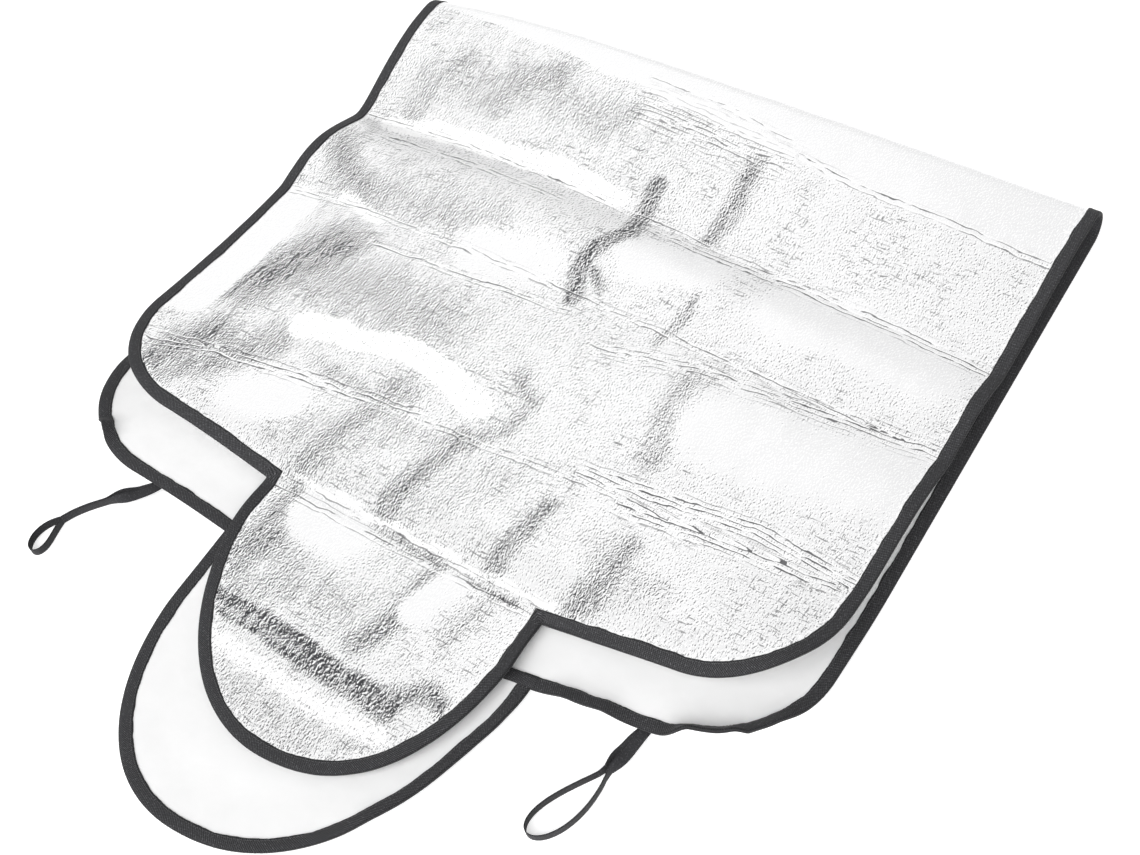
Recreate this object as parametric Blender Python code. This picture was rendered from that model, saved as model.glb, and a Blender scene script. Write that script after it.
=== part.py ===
"""Folded windshield cover: a foil-faced foam sheet with a bound edge and two elastic loops.

The cover lies folded once across its length, foil side out. The frame has X along the fold,
Y from the ears towards the fold and Z up, with the floor at Z = 0. All lengths are in metres.
"""

import math

import bpy
from mathutils import Vector
from mathutils.geometry import delaunay_2d_cdt

# Flat cut of the sheet, measured over the binding
COVER_WIDTH = 0.960
BODY_LENGTH = 1.552
SIDE_BOW = 0.016
CORNER_RADIUS = 0.140
UPPER_EAR_WIDTH = 0.388
UPPER_EAR_LENGTH = 0.269
LOWER_EAR_WIDTH = 0.420
LOWER_EAR_LENGTH = 0.304
EAR_FULLNESS = 2.2

# Sheet and binding
SHEET_THICKNESS = 0.003
TAPE_WIDTH = 0.015
TAPE_THICKNESS = 0.0006
SEAT_GAP = 0.0003

# Fold: a soft roll, wider at the left, bowed towards the back and a little askew
FOLD_Y = 0.365
FOLD_BOW = 0.016
FOLD_BOW_LEFT_SHARE = 0.7
FOLD_BOW_POWER = 3.0
FOLD_SKEW = math.radians(0.4)
ROLL_RADIUS_LEFT = 0.0245
ROLL_RADIUS_RIGHT = 0.020
UPPER_EDGE_PULL = 0.021
ROLL_EDGE_PULL = 0.034
UPPER_EAR_TURN = math.radians(-7.5)
LOWER_EAR_TURN = math.radians(4.0)
EAR_TURN_RUN = 0.10

# Lifts of the two layers above their rest, at the corners and the lower ear's tip
LOWER_LEFT_LIFT = 0.014
LOWER_RIGHT_LIFT = 0.018
LOWER_EAR_LIFT = 0.003
UPPER_LEFT_LIFT = 0.006
UPPER_RIGHT_LIFT = 0.015

# Storage creases across the upper half. Each row holds whether it is a valley, the share of
# the way from the roll to the ear's root at the left and right, and the rise there.
CREASE_ROWS = (
    (True, 0.244, 0.327, 0.003, 0.020),
    (False, 0.374, 0.410, 0.030, 0.031),
    (True, 0.467, 0.502, 0.019, 0.026),
    (False, 0.630, 0.620, 0.024, 0.037),
    (True, 0.840, 0.760, 0.022, 0.030),
    (False, 0.915, 0.890, 0.022, 0.026),
    (True, 1.000, 1.000, 0.003, 0.003),
    (False, 1.155, 1.155, 0.018, 0.008),
    (True, 1.380, 1.380, 0.004, 0.004),
)
CREASE_ROUNDNESS = 0.16

# Elastic loops under the lower side edge: distance from the cover's side, plan route of the
# middle line from its sewn root, and the eye at its end
LOOP_WIDTH = 0.012
LOOP_THICKNESS = 0.0012
LOOP_SEAT = 0.010
LOOP_TWIST_START = 0.024
LOOP_TWIST_END = 0.058
LEFT_LOOP_INSET = 0.160
LEFT_LOOP_ROUTE = ((0.006, -0.025), (-0.107, -0.069), (-0.078, -0.144))
LEFT_EYE_LENGTH = 0.050
LEFT_EYE_SWELL = 0.0135
RIGHT_LOOP_INSET = 0.138
RIGHT_LOOP_ROUTE = ((-0.0145, -0.044), (-0.015, -0.089), (-0.052, -0.152))
RIGHT_EYE_LENGTH = 0.101
RIGHT_EYE_SWELL = 0.0215

# Mesh density
COLUMN_STEP = 0.048
ROW_STEP = 0.048
ROLL_STEPS = 10
CORNER_STEPS = 11
EDGE_STEPS = 6
EAR_STEPS = 16
NECK_STEPS = 12
EYE_STEPS = 30

HALF_SHEET = SHEET_THICKNESS / 2
TAPE_INSIDE = HALF_SHEET + SEAT_GAP
TAPE_OUTSIDE = TAPE_INSIDE + TAPE_THICKNESS
SHEET_INSET = TAPE_THICKNESS + SEAT_GAP
STACK_HEIGHT = 3 * TAPE_OUTSIDE + SEAT_GAP
HALF_WIDTH = COVER_WIDTH / 2
HALF_LENGTH = BODY_LENGTH / 2


def smooth(share):
    share = min(max(share, 0.0), 1.0)
    return share * share * (3 - 2 * share)


def mix(a, b, share):
    return a + (b - a) * share


# Flat pattern


def end_outline(ear_width, ear_length):
    """One end of the cut, from the right side round to the left, as (across, beyond middle)."""
    corner_x = HALF_WIDTH - CORNER_RADIUS
    corner_y = HALF_LENGTH - CORNER_RADIUS
    half_ear = ear_width / 2
    slope = math.atan2(SIDE_BOW, corner_x - half_ear)
    half = []
    for i in range(CORNER_STEPS + 1):
        a = (math.pi / 2 - slope) * i / CORNER_STEPS
        half.append((corner_x + CORNER_RADIUS * math.cos(a), corner_y + CORNER_RADIUS * math.sin(a)))
    end_x, end_y = half[-1]
    root_y = ear_root(ear_width)
    for i in range(1, EDGE_STEPS + 1):
        share = i / EDGE_STEPS
        half.append((mix(end_x, half_ear, share), mix(end_y, root_y, share)))
    power = 2 / EAR_FULLNESS
    for i in range(1, EAR_STEPS + 1):
        a = math.pi / 2 * i / EAR_STEPS
        across = half_ear * max(math.cos(a), 0.0) ** power
        half.append((across, root_y + ear_length * math.sin(a) ** power))
    half[-1] = (0.0, half[-1][1])
    return half + [(-x, y) for x, y in reversed(half[:-1])]


def ear_root(ear_width):
    """How far the side edge reaches beyond the middle where it meets the ear."""
    corner_x = HALF_WIDTH - CORNER_RADIUS
    slope = math.atan2(SIDE_BOW, corner_x - ear_width / 2)
    end_x = corner_x + CORNER_RADIUS * math.sin(slope)
    end_y = HALF_LENGTH - CORNER_RADIUS * (1 - math.cos(slope))
    return end_y + (end_x - ear_width / 2) * math.tan(slope)


def lay(across, along):
    """A point of the flat cut as it lies beside the fold: X, and the run past the roll's start."""
    for side, ear_width, turn in (
        (1, UPPER_EAR_WIDTH, UPPER_EAR_TURN),
        (-1, LOWER_EAR_WIDTH, LOWER_EAR_TURN),
    ):
        past = side * along - ear_root(ear_width)
        if past > 0:
            angle = side * turn * smooth(past / EAR_TURN_RUN)
            turned = across * math.cos(angle) - side * past * math.sin(angle)
            past = past * math.cos(angle) + across * math.sin(angle)
            across = turned
            along = side * (past + ear_root(ear_width))
    x = across * math.cos(FOLD_SKEW) - along * math.sin(FOLD_SKEW)
    run = along * math.cos(FOLD_SKEW) + across * math.sin(FOLD_SKEW)
    return x, run


def side_point(side, run):
    """The cut's straight side where it crosses a run."""
    across = side * HALF_WIDTH
    return across, (run - across * math.sin(FOLD_SKEW)) / math.cos(FOLD_SKEW)


# Folded form


def roll_radius(x):
    return mix(ROLL_RADIUS_LEFT, ROLL_RADIUS_RIGHT, x / COVER_WIDTH + 0.5)


def upper_reach():
    """Run of the upper layer from the roll to its ear's root, at mid width."""
    return ear_root(UPPER_EAR_WIDTH) - math.pi * roll_radius(0)


def crease_run(row, x):
    return mix(row[1], row[2], x / COVER_WIDTH + 0.5) * upper_reach()


def crease_profile(run, x):
    """Height of the upper layer's middle over the floor, a run past the roll."""
    before = (False, 0.0, TAPE_OUTSIDE + 2 * roll_radius(x))
    for row in CREASE_ROWS:
        rise = mix(row[3], row[4], x / COVER_WIDTH + 0.5)
        after = (row[0], crease_run(row, x), STACK_HEIGHT + rise)
        if run <= after[1]:
            share = (run - before[1]) / (after[1] - before[1])
            low, high = (before, after) if before[0] else (after, before)
            share = share if before[0] else 1 - share
            bend = math.sqrt(math.sin(math.pi * share / 2) ** 2 + CREASE_ROUNDNESS**2)
            bend = (bend - CREASE_ROUNDNESS) / (math.sqrt(1 + CREASE_ROUNDNESS**2) - CREASE_ROUNDNESS)
            return low[2] + (high[2] - low[2]) * bend
        before = after
    return before[2]


def lower_lift(x, y):
    """Lift of the lower layer off the floor towards its corners and its ear's tip."""
    share = x / COVER_WIDTH + 0.5
    corners = LOWER_RIGHT_LIFT * smooth((share - 0.55) / 0.4)
    corners += LOWER_LEFT_LIFT * smooth((0.45 - share) / 0.4)
    return corners * smooth((-y - 0.15) / 0.2) + LOWER_EAR_LIFT * smooth((-y - 0.45) / 0.2)


def edge_pull(x, run, y):
    """How far the left edge is drawn in, most where it passes over the roll."""
    reach = smooth((-x / HALF_WIDTH - 0.4) / 0.6)
    turn = run / (math.pi * roll_radius(x))
    if turn <= 0:
        return ROLL_EDGE_PULL * smooth(1 + run / 0.35) * reach
    if turn < 1:
        return mix(ROLL_EDGE_PULL, UPPER_EDGE_PULL, smooth(turn)) * reach
    return UPPER_EDGE_PULL * smooth((y + 0.22) / 0.2) * reach


def fold(x, run):
    """Point of the sheet's middle surface, from the lower ear (run < 0) over the roll and on."""
    share = x / COVER_WIDTH + 0.5
    radius = roll_radius(x)
    bow = 1 - abs(2 * share - 1) ** FOLD_BOW_POWER
    fold_y = FOLD_Y + FOLD_BOW * bow * (1 + FOLD_BOW_LEFT_SHARE * (1 - 2 * share))
    turn = min(max(run / radius, 0.0), math.pi)
    past = run - math.pi * radius
    if past > 0:
        y = fold_y - past
        z = crease_profile(past, x) + lower_lift(x, y)
        corner = UPPER_RIGHT_LIFT * smooth((share - 0.62) / 0.3)
        corner += UPPER_LEFT_LIFT * smooth((0.38 - share) / 0.3)
        z += corner * smooth((-y - 0.12) / 0.18)
    else:
        y = fold_y + min(run, 0.0) + radius * math.sin(turn)
        z = TAPE_OUTSIDE + radius * (1 - math.cos(turn)) + (lower_lift(x, y) if run < 0 else 0)
    return Vector((x + edge_pull(x, run, y), y, z))


def normal(x, run):
    """Unit normal of the folded sheet, towards its white side."""
    step = 0.0005
    along_x = fold(x + step, run) - fold(x - step, run)
    along_run = fold(x, run + step) - fold(x, run - step)
    return along_x.cross(along_run).normalized()


# Rings round the edge and points inside


def row_runs(x):
    """Runs of the mesh rows at a given X: the lower layer, the roll, then crease to crease."""
    lower_end = -ear_root(LOWER_EAR_WIDTH) - LOWER_EAR_LENGTH
    count = math.ceil(-lower_end / ROW_STEP)
    runs = [lower_end * (1 - i / count) for i in range(count)]
    arc = math.pi * roll_radius(x)
    runs += [arc * i / ROLL_STEPS for i in range(ROLL_STEPS)]
    start = 0.0
    for row in CREASE_ROWS:
        end = crease_run(row, x)
        shares = (0.0, 0.06, 0.30, 0.65) if row[0] is False else (0.0, 0.35, 0.70, 0.94)
        runs += [arc + mix(start, end, share) for share in shares]
        start = end
    return runs


def outline():
    """The whole cut's outline, anticlockwise from the right side, as (across, along)."""
    straight = HALF_LENGTH - CORNER_RADIUS
    points = []
    for side in (1, -1):
        runs = sorted(row_runs(side * HALF_WIDTH), reverse=side < 0)
        for run in runs:
            point = side_point(side, run)
            if abs(point[1]) < straight - ROW_STEP / 4:
                points.append(point)
        if side > 0:
            points += end_outline(UPPER_EAR_WIDTH, UPPER_EAR_LENGTH)
        else:
            lower = end_outline(LOWER_EAR_WIDTH, LOWER_EAR_LENGTH)
            points += [(-x, -y) for x, y in lower]
    return points


def inset(points, distance):
    """The closed outline moved inwards by a distance, with mitred corners."""
    moved = []
    count = len(points)
    for i, (x, y) in enumerate(points):
        before = points[i - 1]
        after = points[(i + 1) % count]
        a = Vector((x - before[0], y - before[1])).normalized()
        b = Vector((after[0] - x, after[1] - y)).normalized()
        mitre = (a + b).normalized()
        reach = distance / max(mitre.dot(a), 0.5)
        moved.append((x - mitre.y * reach, y + mitre.x * reach))
    return moved


def distance_to_edge(point, ring):
    """Shortest distance from a point to a closed ring of points, all laid flat."""
    best = 1.0
    px, py = point
    for i, (bx, by) in enumerate(ring):
        ax, ay = ring[i - 1]
        dx, dy = bx - ax, by - ay
        share = ((px - ax) * dx + (py - ay) * dy) / (dx * dx + dy * dy)
        share = min(max(share, 0.0), 1.0)
        best = min(best, math.hypot(px - ax - dx * share, py - ay - dy * share))
    return best


def inside(point, ring):
    px, py = point
    crossings = 0
    for i, (bx, by) in enumerate(ring):
        ax, ay = ring[i - 1]
        if (ay > py) != (by > py) and px < ax + (py - ay) / (by - ay) * (bx - ax):
            crossings += 1
    return crossings % 2 == 1


def inner_points(ring):
    """Grid points laid flat inside a ring, clear of it, on the rows that follow the creases."""
    margin = COLUMN_STEP / 4
    count = math.ceil(COVER_WIDTH / COLUMN_STEP)
    points = []
    for i in range(1, count):
        x = COVER_WIDTH * (i / count - 0.5)
        for run in row_runs(x):
            if inside((x, run), ring) and distance_to_edge((x, run), ring) > margin:
                points.append((x, run))
    return points


def sink(point, edge_ring):
    """How far the lower layer's middle sinks below its bound edge, to lie on the floor."""
    run = point[1]
    away = (distance_to_edge(point, edge_ring) - TAPE_WIDTH) / 0.04
    return (TAPE_OUTSIDE - HALF_SHEET) * smooth(away) * smooth(-run / 0.06)


# Solids


def add_object(name, vertices, faces, materials, face_slots=None):
    mesh = bpy.data.meshes.new(name)
    mesh.from_pydata([tuple(v) for v in vertices], [], faces)
    for material in materials:
        mesh.materials.append(material)
    if face_slots:
        mesh.polygons.foreach_set("material_index", face_slots)
    mesh.shade_smooth()
    mesh.set_sharp_from_angle(angle=math.radians(35))
    mesh.update()
    part = bpy.data.objects.new(name, mesh)
    bpy.context.scene.collection.objects.link(part)
    return part


def make_cover_sheet(points, foil, lining):
    """The bonded sheet: foil outside, white foam inside, as one closed solid."""
    edge_ring = [lay(*p) for p in points]
    rim = [lay(*p) for p in inset(points, SHEET_INSET)]
    bound = [lay(*p) for p in inset(points, TAPE_WIDTH)]
    count = len(rim)
    grid = inner_points(bound)
    loop = bound + grid
    edges = [(i, (i + 1) % count) for i in range(count)]
    found = delaunay_2d_cdt([Vector(p) for p in loop], edges, [], 1, 1e-7)
    flat = rim + [tuple(v) for v in found[0]]
    triangles = [tuple(count + i for i in face) for face in found[2]]
    for i in range(count):
        j = (i + 1) % count
        triangles.append((i, j, count + j))
        triangles.append((i, count + j, count + i))
    white, shiny = [], []
    for index, (x, run) in enumerate(flat):
        middle = fold(x, run)
        if index >= 2 * count and run < 0:
            middle.z -= sink((x, run), edge_ring)
        across = normal(x, run) * HALF_SHEET
        white.append(middle + across)
        shiny.append(middle - across)
    size = len(flat)
    faces = list(triangles)
    faces += [tuple(size + i for i in reversed(face)) for face in triangles]
    for i in range(count):
        j = (i + 1) % count
        faces.append((size + i, size + j, i))
        faces.append((size + j, j, i))
    slots = [1] * len(triangles) + [0] * (len(faces) - len(triangles))
    return add_object("cover_sheet", white + shiny, faces, (foil, lining), slots)


def make_edge_binding(points, material):
    """One continuous tape folded over the sheet's edge, closed on itself."""
    rings = {0.0: points}
    for distance in (TAPE_THICKNESS, TAPE_WIDTH):
        rings[distance] = inset(points, distance)
    section = (
        (TAPE_WIDTH, TAPE_OUTSIDE),
        (0.0, TAPE_OUTSIDE),
        (0.0, -TAPE_OUTSIDE),
        (TAPE_WIDTH, -TAPE_OUTSIDE),
        (TAPE_WIDTH, -TAPE_INSIDE),
        (TAPE_THICKNESS, -TAPE_INSIDE),
        (TAPE_THICKNESS, TAPE_INSIDE),
        (TAPE_WIDTH, TAPE_INSIDE),
    )
    vertices = []
    for i in range(len(points)):
        for distance, height in section:
            x, run = lay(*rings[distance][i])
            vertices.append(fold(x, run) + normal(x, run) * height)
    sides = len(section)
    stations = len(points)
    faces = []
    for i in range(stations):
        j = (i + 1) % stations
        for k in range(sides):
            m = (k + 1) % sides
            a, b = i * sides + k, i * sides + m
            c, d = j * sides + m, j * sides + k
            if section[k][0] < section[m][0]:
                faces += [(a, b, c), (a, c, d)]
            else:
                faces += [(a, b, d), (b, c, d)]
    return add_object("edge_binding", vertices, faces, (material,))


def side_edge_root(side, loop_inset):
    """Laid point of the lower side edge, half under the tape, that far in from the cover's side."""
    target = side * (HALF_WIDTH - loop_inset)
    ends = end_outline(LOWER_EAR_WIDTH, LOWER_EAR_LENGTH)
    upper = ends[: len(ends) // 2]
    for (ax, ay), (bx, by) in zip(upper, upper[1:]):
        if bx <= abs(target) <= ax:
            share = (ax - abs(target)) / (ax - bx)
            return lay(target, -(mix(ay, by, share) - LOOP_SEAT))
    return lay(target, -(HALF_LENGTH - LOOP_SEAT))


def route_point(route, share):
    """Point of a cubic curve that starts at the root, in plan."""
    a, b, c = (Vector(p) for p in route)
    rest = 1 - share
    return 3 * rest * rest * share * a + 3 * rest * share * share * b + share**3 * c


def route_lengths(route):
    """Length along the route at each of many even steps."""
    lengths = [0.0]
    steps = 200
    for i in range(steps):
        step = route_point(route, (i + 1) / steps) - route_point(route, i / steps)
        lengths.append(lengths[-1] + step.length)
    return lengths


def route_at(route, lengths, distance):
    """Plan point and direction that far along the route."""
    distance = min(max(distance, 0.0), lengths[-1])
    steps = len(lengths) - 1
    i = 0
    while i < steps - 1 and lengths[i + 1] < distance:
        i += 1
    share = (i + (distance - lengths[i]) / (lengths[i + 1] - lengths[i])) / steps
    nudge = 0.002
    ahead = route_point(route, min(share + nudge, 1)) - route_point(route, max(share - nudge, 0))
    return route_point(route, share), ahead.normalized()


def underside(point, level):
    """Height of the lower binding's underside over the floor, and its slope across a loop."""
    left = point + level * (LOOP_WIDTH / 2)
    right = point - level * (LOOP_WIDTH / 2)
    left_rise = lower_lift(left.x, left.y)
    right_rise = lower_lift(right.x, right.y)
    return (left_rise + right_rise) / 2, (left_rise - right_rise) / LOOP_WIDTH


def make_elastic_loop(name, side, loop_inset, route, eye_length, eye_swell, material):
    """A flat band folded in half, both ends seated under the binding, standing on edge at its eye."""
    root_x, root_run = side_edge_root(side, loop_inset)
    root = fold(root_x, root_run)
    lengths = route_lengths(route)
    eye_start = lengths[-1] - eye_length
    half_ply = (LOOP_THICKNESS + SEAT_GAP) / 2
    half_stack = half_ply + LOOP_THICKNESS / 2
    stations = [(eye_start * i / NECK_STEPS, half_ply) for i in range(NECK_STEPS)]
    for i in range(EYE_STEPS + 1):
        a = 2 * math.pi * i / EYE_STEPS
        spread = half_ply * math.cos(a / 2) + eye_swell * math.sin(a) * abs(math.sin(a / 2))
        stations.append((eye_start + eye_length * (1 - math.cos(a)) / 2, spread))
    stations += [(eye_start * (1 - i / NECK_STEPS), -half_ply) for i in range(1, NECK_STEPS + 1)]
    centres, widths = [], []
    for distance, spread in stations:
        plan, ahead = route_at(route, lengths, distance)
        level = Vector((-ahead.y, ahead.x, 0))
        share = smooth((distance - LOOP_TWIST_START) / (LOOP_TWIST_END - LOOP_TWIST_START))
        twist = math.pi / 2 * share
        held = 1 - smooth((distance - LOOP_SEAT) / LOOP_TWIST_END)
        middle = Vector((root.x + plan.x, root.y + plan.y, 0))
        rise, tilt = underside(middle, level)
        middle.z = LOOP_WIDTH / 2 * math.sin(twist) + half_stack * math.cos(twist)
        middle.z += (rise - SEAT_GAP - 2 * half_stack) * held
        level.z = tilt * held
        offset = level * math.sin(twist) + Vector((0, 0, math.cos(twist)))
        centres.append(middle + offset * spread)
        widths.append(Vector((0, 0, math.sin(twist))) - level * math.cos(twist))
    vertices = []
    last = len(centres) - 1
    for i, centre in enumerate(centres):
        ahead = (centres[min(i + 1, last)] - centres[max(i - 1, 0)]).normalized()
        width = widths[i] - ahead * widths[i].dot(ahead)
        width.normalize()
        thick = ahead.cross(width) * (LOOP_THICKNESS / 2)
        width *= LOOP_WIDTH / 2
        vertices += [centre + width + thick, centre + width - thick]
        vertices += [centre - width - thick, centre - width + thick]
    faces = []
    for i in range(last):
        for k in range(4):
            m = (k + 1) % 4
            a, b, c, d = i * 4 + k, i * 4 + m, i * 4 + 4 + m, i * 4 + 4 + k
            faces += [(a, c, b), (a, d, c)]
    faces += [(0, 1, 2), (0, 2, 3)]
    end = last * 4
    faces += [(end, end + 2, end + 1), (end, end + 3, end + 2)]
    return add_object(name, vertices, faces, (material,))


def make_material(name, colour, roughness, metallic):
    material = bpy.data.materials.new(name)
    material.use_nodes = True
    shader = material.node_tree.nodes["Principled BSDF"]
    shader.inputs["Base Color"].default_value = (*colour, 1)
    shader.inputs["Roughness"].default_value = roughness
    shader.inputs["Metallic"].default_value = metallic
    material.diffuse_color = (*colour, 1)
    return material


def clear_scene():
    for item in list(bpy.data.objects):
        bpy.data.objects.remove(item, do_unlink=True)


def main():
    clear_scene()
    foil = make_material("silver_foil", (0.86, 0.87, 0.88), 0.25, 0.9)
    lining = make_material("white_foam", (0.90, 0.90, 0.89), 0.7, 0.0)
    tape = make_material("charcoal_tape", (0.065, 0.065, 0.068), 0.8, 0.0)
    elastic = make_material("black_elastic", (0.045, 0.045, 0.048), 0.75, 0.0)
    points = outline()
    make_cover_sheet(points, foil, lining)
    make_edge_binding(points, tape)
    make_elastic_loop(
        "elastic_loop_left",
        -1,
        LEFT_LOOP_INSET,
        LEFT_LOOP_ROUTE,
        LEFT_EYE_LENGTH,
        LEFT_EYE_SWELL,
        elastic,
    )
    make_elastic_loop(
        "elastic_loop_right",
        1,
        RIGHT_LOOP_INSET,
        RIGHT_LOOP_ROUTE,
        RIGHT_EYE_LENGTH,
        RIGHT_EYE_SWELL,
        elastic,
    )


main()
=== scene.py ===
"""Dresses the folded windshield cover: crinkled foil over white foam, woven binding and loops.

The cover's cut and the way it lies are worked out from named sizes, in metres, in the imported
model's frame: X along the fold, Y from the ears to the fold, Z up from the floor.
"""

import math

import bpy
import numpy as np
from bpy.props import FloatProperty, FloatVectorProperty, PointerProperty
from mathutils import Matrix, Vector, kdtree, noise
from mathutils.geometry import delaunay_2d_cdt


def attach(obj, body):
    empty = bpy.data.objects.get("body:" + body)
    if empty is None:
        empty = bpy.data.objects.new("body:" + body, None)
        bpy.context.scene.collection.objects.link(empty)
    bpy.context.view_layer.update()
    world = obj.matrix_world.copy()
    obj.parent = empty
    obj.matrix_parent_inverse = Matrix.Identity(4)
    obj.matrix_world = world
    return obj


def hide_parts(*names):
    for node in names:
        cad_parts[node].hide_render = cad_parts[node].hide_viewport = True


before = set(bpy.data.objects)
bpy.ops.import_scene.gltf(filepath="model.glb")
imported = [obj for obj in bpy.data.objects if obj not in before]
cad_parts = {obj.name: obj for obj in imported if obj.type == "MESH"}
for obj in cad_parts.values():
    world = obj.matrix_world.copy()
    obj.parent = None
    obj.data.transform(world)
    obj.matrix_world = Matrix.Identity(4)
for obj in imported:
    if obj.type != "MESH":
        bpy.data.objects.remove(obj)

bl_info = {
    "name": "Windshield Cover",
    "version": (1, 0, 0),
    "blender": (4, 5, 0),
    "location": "View3D > Sidebar > Cover",
    "description": "Builds a folded foil windshield cover with a bound edge and elastic loops",
    "category": "Object",
}

# Storage creases across the upper half. Each row holds whether it is a valley, the share of
# the way from the roll to the ear's root at the left and right, and the rise there.
CREASE_ROWS = (
    (True, 0.244, 0.327, 0.003, 0.020),
    (False, 0.374, 0.410, 0.030, 0.031),
    (True, 0.467, 0.502, 0.019, 0.026),
    (False, 0.630, 0.620, 0.024, 0.037),
    (True, 0.840, 0.760, 0.022, 0.030),
    (False, 0.915, 0.890, 0.022, 0.026),
    (True, 1.000, 1.000, 0.003, 0.003),
    (False, 1.155, 1.155, 0.018, 0.008),
    (True, 1.380, 1.380, 0.004, 0.004),
)
CREASE_ROUNDNESS = 0.16

# Routes of the two loops from their sewn roots, in plan
LEFT_LOOP_ROUTE = ((0.006, -0.025), (-0.107, -0.069), (-0.078, -0.144))
RIGHT_LOOP_ROUTE = ((-0.0145, -0.044), (-0.015, -0.089), (-0.052, -0.152))

# Where the lower half's edge has turned up: the distance over which that fades, the angle at
# the rim in degrees, and the route in plan
EDGE_CURLS = (
    (0.026, 28, ((0.262, -0.412), (0.290, -0.410))),
    (0.023, 60, ((0.392, -0.397), (0.430, -0.378))),
    (0.030, 36, ((0.445, -0.365), (0.462, -0.345))),
    (0.040, 16, ((-0.474, -0.290), (-0.456, -0.341))),
    (0.014, 48, ((-0.424, -0.375), (-0.415, -0.380))),
    (0.030, 12, ((0.150, -0.617), (0.189, -0.539), (0.211, -0.470))),
)
CURL_REACH = 0.024  # how far in from the rim an edge turns up
CURL_BEND = 0.010  # the bent part of that reach, the rest being straight
CURL_WAVES = 26  # unevenness along the edge, in waves per metre
CURL_UNEVENNESS = 0.4

# Unevenness of the sheet: waves per metre across and along, a seed, and their height
RELIEF_WAVES = ((9, 7, 1.5, 0.0016), (26, 20, 7.5, 0.0006), (62, 44, 2.5, 0.0003))
LOWER_RELIEF = 0.35  # share of it on the lower half, where it only lifts off the floor

ROW_SHARE = 0.866  # row spacing of an even lattice of triangles, as a share of its step
LATTICE_MARGIN = 0.0035  # nearest that the lattice comes to the binding's inner edge

# Inside its binding the lower half settles to the floor over these distances
SETTLE_FROM_BINDING = 0.04
SETTLE_FROM_FOLD = 0.06

# The camera that the photograph was taken with, and the ways of the two lamps
CAMERA_PLACE = (0.9517, -0.9796, 1.6059)
CAMERA_FORWARD = (-0.4356, 0.4264, -0.7928)
CAMERA_UP = (-0.3489, 0.7318, 0.5854)
KEY_WAY = (-0.10, 1.0, -0.62)
BACK_PLACE = (-1.9, 1.4, 2.1)
BACK_TARGET = (0, -0.1, 0)

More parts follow.
